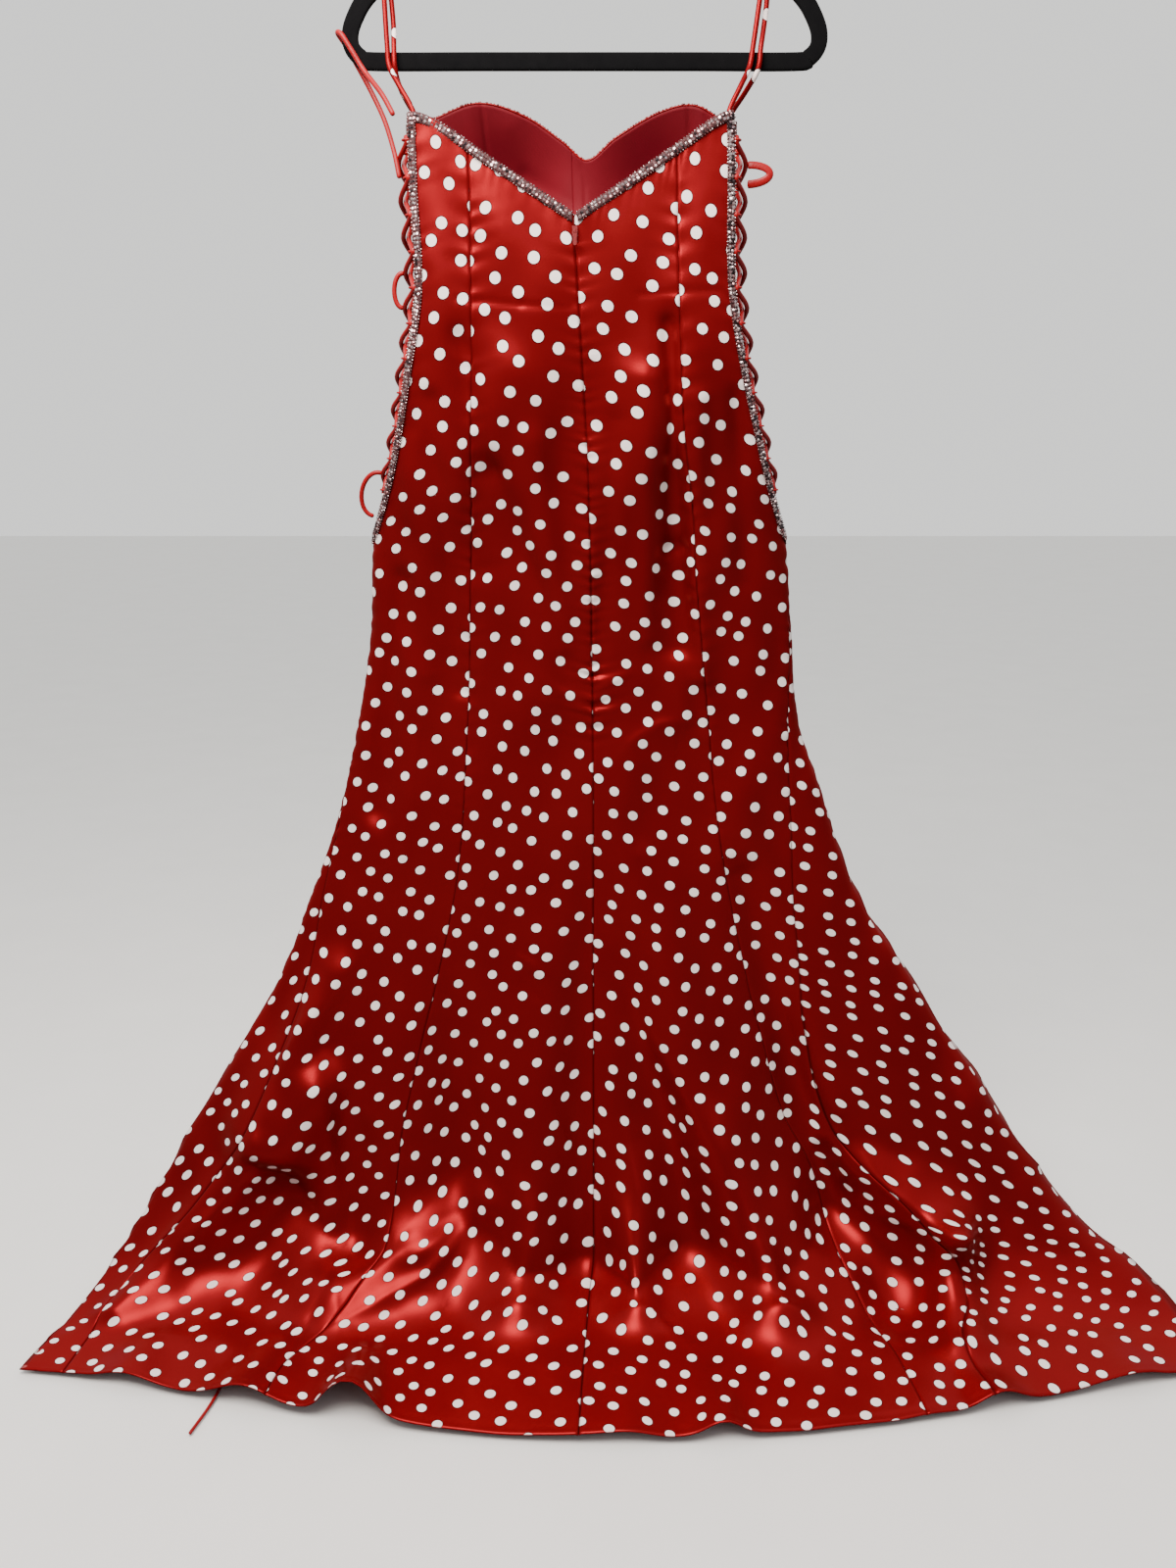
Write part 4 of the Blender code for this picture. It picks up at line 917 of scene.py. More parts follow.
@dataclass(frozen=True)
class Beads:
    """Small dark red glass beads, pressed and fire polished, so each has one sharp light point."""

    name: str = "pressed_glass_bead"
    light: str = "#8f1a22"
    dark: str = "#3c070c"

    def build(self) -> bpy.types.Material:
        """Make the material, darker on some beads than on others."""
        f = Finish(self.name, Roughness=0.16, IOR=1.52, Coat_Weight=0.5, Coat_Roughness=0.06)
        bead = f.add("NewGeometry").outputs["Random Per Island"]
        return f.wire(Base_Color=f.mix(bead, self.dark, self.light))


@dataclass(frozen=True)
class Speckled:
    """A hard or flocked surface with fine grain: flock on plastic, steel wire or enamel."""

    name: str
    light: str
    dark: str
    roughness: float
    grain: float
    relief: float
    metallic: float = 0.0
    sheen: float = 0.0
    coat: float = 0.0
    specular: float = 0.5
    # the gloss varies between these shares of the roughness, over twenty times the grain
    gloss_span: tuple[float, float] = (0.85, 1.15)
    broad_share: float = 0.05

    def build(self) -> bpy.types.Material:
        """Make the material on Object coordinates, with its grain in colour, gloss and relief."""
        f = Finish(
            self.name, Metallic=self.metallic, Specular_IOR_Level=self.specular,
            Sheen_Weight=self.sheen, Sheen_Roughness=0.35, Coat_Weight=self.coat, Coat_Roughness=0.08,
        )
        place = f.add("TexCoord").outputs["Object"]
        fine = f.noise(place, 1.0 / self.grain, 3.0)
        broad = f.noise(place, self.broad_share / self.grain, 2.0)
        colour = f.mix(fine, self.dark, self.light)
        low, high = (min(1.0, share * self.roughness) for share in self.gloss_span)
        gloss = f.mapped(broad, To_Min=low, To_Max=high)
        return f.wire(Base_Color=colour, Roughness=gloss, Normal=f.bump(fine, 0.5, self.relief))


@dataclass(frozen=True)
class FloorPaint:
    """Matt pale floor paint, rolled on, so its tone clouds a little over a hand's width."""

    name: str = "matt_floor_paint"
    pale: str = "#f8f7f5"
    cloud: str = "#f1f0ee"
    # what the floor throws back onto the gown is held down, as a dark cloth before it would do
    thrown: str = "#8c8b89"
    cloud_scale: float = 9.0
    roughness: float = 0.8

    def build(self) -> bpy.types.Material:
        """Make the material on Object coordinates."""
        f = Finish(self.name, Roughness=self.roughness, Specular_IOR_Level=0.3)
        place = f.add("TexCoord").outputs["Object"]
        seen = f.mix(f.noise(place, self.cloud_scale, 3.0), self.cloud, self.pale)
        rays = f.add("LightPath").outputs["Is Camera Ray"]
        return f.wire(Base_Color=f.mix(rays, self.thrown, seen))


def new_piece(
    name: str, mesh: bmesh.types.BMesh, smooth_angle: float = 180.0
) -> bpy.types.Object:
    """Put a mesh in the scene as a piece.

    Args:
        name: The piece's name.
        mesh: Its mesh, which is used up.
        smooth_angle: Edges sharper than this many degrees stay sharp.

    Returns:
        The new object, at the origin.
    """
    data = bpy.data.meshes.new(name)
    mesh.to_mesh(data)
    mesh.free()
    data.shade_smooth()
    if smooth_angle < 180.0:
        data.set_sharp_from_angle(angle=math.radians(smooth_angle))
    obj = bpy.data.objects.new(name, data)
    bpy.context.scene.collection.objects.link(obj)
    return obj


def add_wall(obj: bpy.types.Object, thickness: float) -> bpy.types.Modifier:
    """Give a sheet its thickness, inwards from its face."""
    wall = obj.modifiers.new("wall", "SOLIDIFY")
    wall.thickness, wall.offset = thickness, -1.0
    return wall


def lay_grid(
    points: Array, uv: Array, closed: bool = False, caps: bool = False, seam_shade: Array | None = None
) -> bmesh.types.BMesh:
    """A grid laid over rows and columns of points, with a UV map.

    Args:
        points: The points as rows by columns by three.
        uv: Each point's place on the flat cloth, in metres.
        closed: Whether the last column lies on the first and is joined to it.
        caps: Whether the open ends are filled.
        seam_shade: How much painted shade each point takes, from 0 to 1, more the nearer it lies to a sewn
            seam's groove.

    Returns:
        The mesh, with its faces outwards where it is closed.
    """
    rows, columns = points.shape[:2]
    mesh = bmesh.new()
    bmesh.ops.create_grid(mesh, x_segments=columns - 1, y_segments=rows - 1, size=0.5)
    data = bpy.data.meshes.new("grid")
    mesh.to_mesh(data)
    places = np.empty(3 * len(data.vertices))
    data.vertices.foreach_get("co", places)
    places = places.reshape(-1, 3)
    row = np.rint((0.5 - places[:, 1]) * (rows - 1)).astype(int)
    column = np.rint((places[:, 0] + 0.5) * (columns - 1)).astype(int)
    data.vertices.foreach_set("co", points[row, column].ravel())
    corners = np.empty(len(data.loops), dtype=np.int32)
    data.loops.foreach_get("vertex_index", corners)
    layer = data.uv_layers.new(name="UVMap")
    layer.uv.foreach_set("vector", uv[row, column][corners].astype(np.float32).ravel())
    # the painted shade beside the seams, kept as a point attribute that the satin reads
    if seam_shade is not None:
        seam_shade_colour = data.attributes.new("seam_shade", "FLOAT", "POINT")
        seam_shade_colour.data.foreach_set("value", seam_shade[row, column].astype(np.float32))
    mesh.clear()
    mesh.from_mesh(data)
    bpy.data.meshes.remove(data)
    if closed:
        bmesh.ops.remove_doubles(mesh, verts=mesh.verts, dist=1e-7)
    if caps:
        bmesh.ops.holes_fill(mesh, edges=[edge for edge in mesh.edges if edge.is_boundary])
    if closed:
        bmesh.ops.recalc_face_normals(mesh, faces=mesh.faces)
        if mesh.calc_volume(signed=True) < 0.0:
            bmesh.ops.reverse_faces(mesh, faces=mesh.faces)
    return mesh


def through(route: tuple, steps: int) -> Array:
    """A smooth curve through a route.

    Args:
        route: The places it goes through.
        steps: How many steps it has between two places.

    Returns:
        The curve's points.
    """
    p = np.array(route, float)
    ends = np.concatenate(([2 * p[0] - p[1]], p, [2 * p[-1] - p[-2]]))
    t = np.linspace(0.0, 1.0, steps, endpoint=False)[:, None]
    parts = [
        0.5 * (2 * b + (c - a) * t + (2 * a - 5 * b + 4 * c - d) * t**2 + (3 * b - a - 3 * c + d) * t**3)
        for a, b, c, d in zip(ends[:-3], ends[1:-2], ends[2:-1], ends[3:])
    ]
    return np.concatenate(parts + [p[-1:]])


def sweep(
    path: Array, radius: float | Array, sides: int = 12, flat: float = 1.0, closed: bool = False
) -> bmesh.types.BMesh:
    """A round or flattened cord along a path, with a UV map in metres and soft ends.

    Args:
        path: The middle line.
        radius: The cord's radius, for all or for each point.
        sides: How many faces go round it.
        flat: Its thickness as a share of its width.
        closed: Whether it joins its own start.

    Returns:
        The mesh.
    """
    path = np.asarray(path, float)
    radius = np.broadcast_to(np.asarray(radius, float), len(path)).astype(float)
    if closed:
        path, radius = np.concatenate((path, path[:1])), np.append(radius, radius[:1])
        along = np.roll(path[:-1], -1, axis=0) - np.roll(path[:-1], 1, axis=0)
        along = np.concatenate((along, along[:1]))
    else:
        lead, tail = path[0] - path[1], path[-1] - path[-2]
        lead, tail = lead / np.linalg.norm(lead), tail / np.linalg.norm(tail)
        turns = np.radians((35.0, 65.0, 88.0))
        first = path[0] + lead * (0.8 * radius[0] * np.sin(turns)[::-1, None])
        last = path[-1] + tail * (0.8 * radius[-1] * np.sin(turns)[:, None])
        path = np.concatenate((first, path, last))
        radius = np.concatenate((radius[0] * np.cos(turns)[::-1], radius, radius[-1] * np.cos(turns)))
        along = np.gradient(path, axis=0)
    along = unit(along)
    across = np.empty_like(path)
    side = np.cross(along[0], (0.3, 0.2, 1.0))
    for i, direction in enumerate(along):
        side = side - direction * np.dot(side, direction)
        side /= np.linalg.norm(side)
        across[i] = side
    up = np.cross(along, across)
    angles = np.linspace(0.0, FULL_TURN, sides + 1)
    ring = (
        across[:, None] * np.cos(angles)[None, :, None] + flat * up[:, None] * np.sin(angles)[None, :, None]
    )
    points = path[:, None] + ring * radius[:, None, None]
    length = run_lengths(path)
    round_it = np.broadcast_to(angles * radius.max(), (len(path), sides + 1))
    uv = np.stack((round_it, np.broadcast_to(length[:, None], round_it.shape)), -1)
    return lay_grid(points, uv, closed=True, caps=not closed)


def repeat(template: bmesh.types.BMesh, places: list[Matrix], into: bmesh.types.BMesh) -> None:
    """Put a small shape at many places of a mesh.

    Args:
        template: The shape, which is used up.
        places: Where each copy goes.
        into: The mesh that takes the copies.
    """
    data = bpy.data.meshes.new("template")
    template.to_mesh(data)
    template.free()
    for place in places:
        data.transform(place)
        into.from_mesh(data)
        data.transform(place.inverted())
    bpy.data.meshes.remove(data)


def framed(at: Array, along: Array, up: Array, size: float = 1.0) -> Matrix:
    """A place with its X along, its Z up and its size.

    Args:
        at: The place.
        along: The direction of X.
        up: The direction of Z.
        size: The scale.

    Returns:
        The matrix.
    """
    z = Vector(up).normalized()
    y = z.cross(Vector(along)).normalized()
    turn = Matrix((y.cross(z), y, z)).transposed().to_4x4()
    return Matrix.Translation(Vector(at)) @ turn @ Matrix.Scale(size, 4)


def dress(
    obj: bpy.types.Object, finishes: list[bpy.types.Material], nodes: tuple[str, ...] = ()
) -> bpy.types.Object:
    """Give a piece its materials and tie it to the gown.

    Args:
        obj: The piece.
        finishes: Its materials, in the order of its slots.
        nodes: The CAD nodes it stands for.

    Returns:
        The piece.
    """
    for finish in finishes:
        obj.data.materials.append(finish)
    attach(obj, BODY)
    if nodes:
        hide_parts(*nodes)
    LOG.info("piece %s: %d faces", obj.name, len(obj.data.polygons))
    return obj


@dataclass(frozen=True)
class Puckers:
    """Small seeded wrinkles that a tight seam pulls into the cloth beside it.

    They lie at a mean pitch between the lengths top and foot, the strongest has the full height, and
    they die out over the reach, and over fade at both ends.
    """

    top: float
    foot: float
    pitch: float
    height: float
    reach: float = 9.0 * MM
    fade: float = 0.03

    def at(self, s: Array, down: Array, seed: int) -> Array:
        """The wrinkles at points of the cloth.

        Args:
            s: Distance from the seam.
            down: Length down the cloth.
            seed: Seed of their spacing and strength.

        Returns:
            The height at each point.
        """
        rng = np.random.default_rng(seed)
        count = int((self.foot - self.top) / self.pitch) + 2
        knots = self.top + np.cumsum(rng.uniform(0.6, 1.4, count) * self.pitch)
        phase = np.interp(down + 0.25 * s, knots, np.arange(count) * FULL_TURN)
        strength = np.interp(down, knots, rng.uniform(0.15, 1.0, count))
        starts = np.clip((down - self.top) / self.fade, 0.0, 1.0)
        ends = starts * np.clip((self.foot - down) / self.fade, 0.0, 1.0)
        return self.height * strength * ends * np.sin(phase) * np.exp(-s / self.reach)


@dataclass(frozen=True)
class Sewing:
    """How an edge is sewn: the depth and half width of its dip, and the puckers beside it."""

    depth: float
    half: float
    puckers: Puckers


class Join(Enum):
    """The ways in which a panel's edge is joined to what lies beside it."""

    SEAM = Sewing(0.9 * MM, 1.5 * MM, Puckers(0.30, 1.05, 0.019, 0.95 * MM))
    ZIP = Sewing(1.5 * MM, 1.5 * MM, Puckers(0.365, 0.88, 0.013, 1.60 * MM))
    SIDE = Sewing(0.8 * MM, 1.6 * MM, Puckers(0.26, 1.05, 0.019, 1.10 * MM))


@dataclass(frozen=True)
class Panel:
    """One panel of the gown between two lines of r, each a function of the nominal length down."""

    name: str
    start: Callable[[Array], Array]
    end: Callable[[Array], Array]
    start_join: Join
    end_join: Join
    columns: int
    behind: bool
    seed: int


@dataclass
class GownPanels:
    """The seven satin panels, each one sheet with the printed face out and the dull reverse in."""

    cloth: Cloth
    satin: bpy.types.Material
    reverse: bpy.types.Material
    wall: float = 1.2 * MM
    lip: float = 0.8 * MM
    crowding: float = 0.72
    hem_stitch: float = 8.0 * MM
    hem_groove: float = 0.45 * MM
    zip_foot: float = 0.880
    hem_groove_half: float = 1.3 * MM
    hem_turning: float = 0.02
    # gathers at the neck's edge, which runs across, so x stands in for their length down
    neck_puckers: Puckers = Puckers(0.36, 0.84, 0.013, 0.9 * MM, 8.0 * MM)
    neck_shift: float = 0.6
    neck_stretch: float = 1.2
    zip_foot_puckers: Puckers = Puckers(0.76, 0.90, 0.014, 2.0 * MM, 1.7 * 9.0 * MM)
    zip_seed: int = 40
    # how far the braid covers the panel's edge beyond its own
    under_braid: float = 1.0 * MM
    # beside a side seam the back's and the front's waves die out, so that both panels meet on it
    side_calm: float = 14.0 * MM
    # the front lies on its lining as far as that goes, and only below it sinks in freely
    lined_to: float = 0.450
    lined_fade: float = 0.06
    lined_depth: float = 0.15 * MM
    free_depth: float = 12.0 * MM
    floor_gap: float = 0.3 * MM
    rows_neck: int = 40
    rows_body: int = 175
    rows_skirt: int = 215
    # soft waves: their lengths, and their height over their length at lengths down the cloth
    ripple_lengths: tuple[float, ...] = (0.045, 0.060, 0.075, 0.095, 0.120, 0.150, 0.190)
    ripple: tuple[tuple[float, ...], tuple[float, ...]] = (
        (0.35, 0.45, 0.55, 0.90, 1.05, 1.40, 1.55), (0.011, 0.014, 0.024, 0.019, 0.012, 0.012, 0.007),
    )
    ripple_seeds: tuple[int, int] = (3, 4)
    # painted shade beside each seam: how far it reaches from the seam's edge, and its strength at the edge
    seam_shade_reach: float = 0.75 * MM
    seam_shade_depth: float = 0.50

    def side_line(self, side: Side, face: str, inset: tuple[Seam, ...]) -> Callable[[Array], Array]:
        """A panel's line along a laced opening, under its braid, and the side seam below it."""

        def line(down: Array) -> Array:
            """The r of the line at lengths down."""
            toward = 1.0 if face == "back" else -1.0
            opening = smooth(OPENINGS, face, "down", np.minimum(down, OPENING_END))
            length = opening - TRIM_WIDTH + self.under_braid
            upper = self.cloth.r_from_side(side, toward * np.maximum(length, 0.0), down)
            if side is Side.LEFT:
                x = self.cloth.level("left", down) + smooth(inset, "x", "down", down)
            else:
                x = self.cloth.level("right", down) - smooth(inset, "x", "down", down)
            lower = self.cloth.r_at_x(x, down)
            r = np.where(down < OPENING_END, upper, lower)
            return r + 4.0 if side is Side.LEFT and face == "front" else r

        return line

    def back_seam(self, rows: tuple[Seam, ...]) -> Callable[[Array], Array]:
        """The line of a seam of the back."""

        def line(down: Array) -> Array:
            """The r of the seam at lengths down."""
            down = np.maximum(down, NECK_SEAM_DOWN)
            return self.cloth.r_at_x(smooth(rows, "x", "down", down), down)

        return line

    def front_seam(self, toward: float) -> Callable[[Array], Array]:
        """The line of a princess seam of the front."""

        def line(down: Array) -> Array:
            """The r of the seam at lengths down."""
            down = np.maximum(down, NECK_END)
            left, right = self.cloth.level("left", down), self.cloth.level("right", down)
            x = 0.5 * (left + right) + toward * 0.5 * FRONT_PRINCESS_SHARE * (right - left)
            return self.cloth.r_at_x(x, down, front=True)

        return line

    def panels(self) -> tuple[Panel, ...]:
        """The seven panels, left to right over the back and right to left over the front."""
        left, right = self.back_seam(PRINCESS_LEFT), self.back_seam(PRINCESS_RIGHT)
        middle = self.back_seam(CENTRE_BACK)
        front_right, front_left = self.front_seam(1.0), self.front_seam(-1.0)
        edges = {
            (side, face): self.side_line(side, face, inset)
            for side, inset in ((Side.LEFT, SIDE_LEFT_INSET), (Side.RIGHT, SIDE_RIGHT_INSET))
            for face in ("back", "front")
        }
        seam, side = Join.SEAM, Join.SIDE
        return (
            Panel("back_side_left", edges[Side.LEFT, "back"], left, side, seam, 64, True, 11),
            Panel("back_centre_left", left, middle, seam, Join.ZIP, 76, True, 12),
            Panel("back_centre_right", middle, right, Join.ZIP, seam, 78, True, 13),
            Panel("back_side_right", right, edges[Side.RIGHT, "back"], seam, side, 64, True, 14),
            Panel("front_side_right", edges[Side.RIGHT, "front"], front_right, side, seam, 44, False, 15),
            Panel("front_centre", front_right, front_left, seam, seam, 52, False, 16),
            Panel("front_side_left", front_left, edges[Side.LEFT, "front"], seam, side, 44, False, 17),
        )

    def downs(self, panel: Panel) -> Array:
        """The nominal lengths down of a panel's rows, closest where its puckers are."""
        body = self.rows_body if panel.behind else self.rows_body // 2
        skirt = self.rows_skirt if panel.behind else self.rows_skirt // 2
        return np.concatenate(
            (
                np.linspace(CORNER_DOWN, NECK_END, self.rows_neck, endpoint=False),
                np.linspace(NECK_END, self.zip_foot, body, endpoint=False),
                np.linspace(self.zip_foot, self.cloth.hem, skirt + 1),
            )
        )

    def relief(
        self, panel: Panel, x: Array, down: Array, from_neck: Array, from_start: Array, from_end: Array
    ) -> Array:
        """What stands out from the large folds: creases, dips of the seams, puckers, soft waves and hem.

        Args:
            panel: The panel.
            x: The points' x.
            down: The points' length down the cloth.
            from_neck: Distance from the top edge.
            from_start: Distance from the panel's first seam.
            from_end: Distance from its last seam.

        Returns:
            The height at each point.
        """
        total = fold_height(BACK_CREASES if panel.behind else FRONT_CREASES, x, down)
        total += crest_height(BACK_CRESTS if panel.behind else FRONT_CRESTS, x, down)
        rng = np.random.default_rng(self.ripple_seeds[0 if panel.behind else 1])
        for length in self.ripple_lengths:
            lean = rng.uniform(-0.5, 0.5)
            run = x * math.cos(lean) + down * math.sin(lean)
            wave = np.sin(FULL_TURN * run / length + rng.uniform(0, 6))
            sway = 0.5 + 0.5 * np.sin(FULL_TURN * down / (2.3 * length) + rng.uniform(0, 6))
            total += np.interp(down, *self.ripple) * length * wave * sway
        for s, join in ((from_start, panel.start_join), (from_end, panel.end_join)):
            if join is Join.SIDE:
                total *= 1.0 - np.exp(-((s / self.side_calm) ** 2))
        if not panel.behind:
            sunk = np.clip((down - self.lined_to) / self.lined_fade, 0.0, 1.0) * self.free_depth
            total = np.maximum(total, -self.lined_depth - sunk)
        total += self.neck_puckers.at(from_neck, self.neck_shift + self.neck_stretch * x, panel.seed + 90)
        for s, join, other in ((from_start, panel.start_join, 0), (from_end, panel.end_join, 50)):
            sewn = np.clip((down - OPENING_END) / 0.01, 0.0, 1.0) if join is Join.SIDE else 1.0
            total -= sewn * join.value.depth * np.exp(-((s / join.value.half) ** 2))
            seed = self.zip_seed if join is Join.ZIP else panel.seed + other
            total += join.value.puckers.at(s, down, seed)
            if join is Join.ZIP:
                total += self.zip_foot_puckers.at(s, down, seed + 1)
        up = self.cloth.hem - down
        return total - self.hem_groove * np.exp(-(((up - self.hem_stitch) / self.hem_groove_half) ** 2))

    def build_panel(self, panel: Panel) -> bpy.types.Object:
        """Make one panel.

        Args:
            panel: Which one.

        Returns:
            The piece.
        """
        nominal = self.downs(panel)
        t = np.linspace(0.0, 1.0, panel.columns + 1)
        t = t - self.crowding * np.sin(FULL_TURN * t) / FULL_TURN
        start, end = panel.start(nominal), panel.end(nominal)
        r = start[:, None] + (end - start)[:, None] * t[None, :]
        top = self.cloth.neck_down(r, self.lip if panel.behind else 0.0)
        down = under_neck(nominal[:, None], top)
        flat = self.cloth.points(r, down)
        across = run_lengths(flat)
        middle = panel.columns // 2
        fall = run_lengths(flat[:, middle])
        x = self.cloth.base(r, down)[0][..., 0]
        height = self.relief(panel, x, down, down - top, across, across[:, -1:] - across)
        points = flat + self.cloth.normals(r, down) * height[..., None]
        points[..., 2] = np.maximum(points[..., 2], self.cloth.floor_z + self.wall + self.floor_gap)
        offset = np.random.default_rng(panel.seed).uniform(0.0, 9.0, 2)
        bust = int(np.searchsorted(nominal, NECK_END))
        length_down = np.where(nominal[:, None] < NECK_END, fall[bust] - (NECK_END - down), fall[:, None])
        uv = np.stack((across - across[:, middle : middle + 1] + offset[0], offset[1] - length_down), -1)
        # painted shade, strongest at both seams' edges, with which the satin darkens its print
        near = np.minimum(across, across[:, -1:] - across)
        seam_shade = self.seam_shade_depth * np.exp(-((near / self.seam_shade_reach) ** 2))
        obj = new_piece("satin_" + panel.name, lay_grid(points, uv, seam_shade=seam_shade))
        wall = add_wall(obj, self.wall)
        wall.material_offset, wall.material_offset_rim = 1, 1
        dress(obj, [self.satin, self.reverse], (panel.name,))
        return obj

    def build(self) -> list[bpy.types.Object]:
        """Make all the panels."""
        return [self.build_panel(panel) for panel in self.panels()]


@dataclass
class BodiceLining:
    """The crimson lining of the front bodice, seen over the back's neckline, with its cup seams."""

    cloth: Cloth
    crimson: bpy.types.Material
    panels: tuple[Panel, ...]
    gap: float = 0.35 * MM
    outer_wall: float = 1.2 * MM
    thickness: float = 1.6 * MM
    cloth_wall: float = 0.7 * MM
    foot: float = 0.445
    rows: int = 90
    columns: int = 130
    # the seam at the centre front, from where it starts under the neck's point
    seam_depth: float = 0.9 * MM
    seam_half: float = 1.6 * MM
    seam_top: float = 0.296
    cup_seams: tuple[Fold, ...] = (
        Fold(-0.100, 0.240, -0.094, 0.335, 0.0022, 0.0022, -0.0016, -0.0012),
        Fold(-0.112, 0.246, -0.100, 0.320, 0.0070, 0.0070, 0.0018, 0.0014),
        Fold(-0.072, 0.262, -0.040, 0.380, 0.0160, 0.0220, 0.0024, 0.0020),
        Fold(-0.060, 0.300, -0.020, 0.330, 0.0080, 0.0110, -0.0018, -0.0014),
        Fold(0.100, 0.240, 0.108, 0.320, 0.0022, 0.0022, -0.0016, -0.0012),
        Fold(0.114, 0.246, 0.112, 0.310, 0.0070, 0.0070, 0.0018, 0.0014),
        Fold(0.010, 0.296, 0.052, 0.380, 0.0140, 0.0200, -0.0022, -0.0020),
    )

    def build(self) -> list[bpy.types.Object]:
        """Make the two halves, which meet in a seam at the centre front."""
        pieces = []
        right, left = self.panels[4], self.panels[6]
        nominal = np.linspace(CORNER_DOWN, self.foot, self.rows)
        halves = (
            ("lining_right", right.start(nominal), np.full(nominal.shape, 3.0)),
            ("lining_left", np.full(nominal.shape, 3.0), left.end(nominal)),
        )
        for name, start, end in halves:
            t = np.linspace(0.0, 1.0, self.columns)[None, :]
            r = start[:, None] + (end - start)[:, None] * t
            top = self.cloth.neck_down(r)
            down = under_neck(nominal[:, None], top)
            x = self.cloth.base(r, down)[0][..., 0]
            depth = self.outer_wall + self.gap + self.thickness
            dip = self.seam_depth * np.exp(-((x / self.seam_half) ** 2)) * (down > self.seam_top)
            inward = depth + fold_height(self.cup_seams, x, down) - dip
            points = self.cloth.points(r, down, -np.maximum(inward, self.outer_wall + 1.0 * MM))
            width = run_lengths(points)
            uv = np.stack((width, down), -1)
            mesh = lay_grid(points, uv)
            bmesh.ops.reverse_faces(mesh, faces=mesh.faces)
            obj = new_piece("crimson_" + name, mesh)
            add_wall(obj, self.cloth_wall)
            dress(obj, [self.crimson], (name,))
            pieces.append(obj)
        return pieces


@dataclass
class PicotEdge:
    """The sweetheart edge: a thin covered cord with a row of small red glass beads sewn on it."""

    cloth: Cloth
    cord: bpy.types.Material
    glass: bpy.types.Material
    panels: tuple[Panel, ...]
    cord_radius: float = 0.9 * MM
    bead_radius: float = 1.15 * MM
    bead_pitch: float = 3.1 * MM
    lift: float = 0.9 * MM
    # the cord runs over the middle of the outer wall and the lining
    inward: float = 1.6 * MM

    def build(self) -> list[bpy.types.Object]:
        """Make the cord and its beads along the top of the front panels and the lining."""
        corner = np.array([CORNER_DOWN])
        first, last = (float(side(corner)[0]) for side in (self.panels[4].start, self.panels[6].end))
        r = np.linspace(first, last, 420)
        edge = self.cloth.points(r, self.cloth.neck_down(r), -self.inward)
        along = unit(np.gradient(edge, axis=0))
        up = unit(np.array((0.0, 0.0, 1.0)) - along[:, 2:] * along)
        line = edge + up * self.lift
        cord = new_piece("picot_cord", sweep(line[::2], self.cord_radius, 8))
        dress(cord, [self.cord], ("picot_edge",))
        rng = np.random.default_rng(21)
        length = run_lengths(line)
        stops = np.arange(self.bead_pitch, length[-1], self.bead_pitch)
        stops = stops + rng.uniform(-0.35, 0.35, len(stops)) * self.bead_pitch
        places = []
        for stop in stops:
            i = int(np.clip(np.searchsorted(length, stop), 1, len(line) - 2))
            out = up[i] + rng.uniform(-0.6, 0.6) * np.cross(along[i], up[i])
            centre = line[i] + out * 0.9 * self.cord_radius
            places.append(framed(centre, along[i], up[i], self.bead_radius * rng.uniform(0.8, 1.15)))
        bead, beads = bmesh.new(), bmesh.new()
        bmesh.ops.create_icosphere(bead, subdivisions=1, radius=1.0)
        repeat(bead, places, beads)
        strung = new_piece("picot_beads", beads)
        return [cord, dress(strung, [self.glass])]


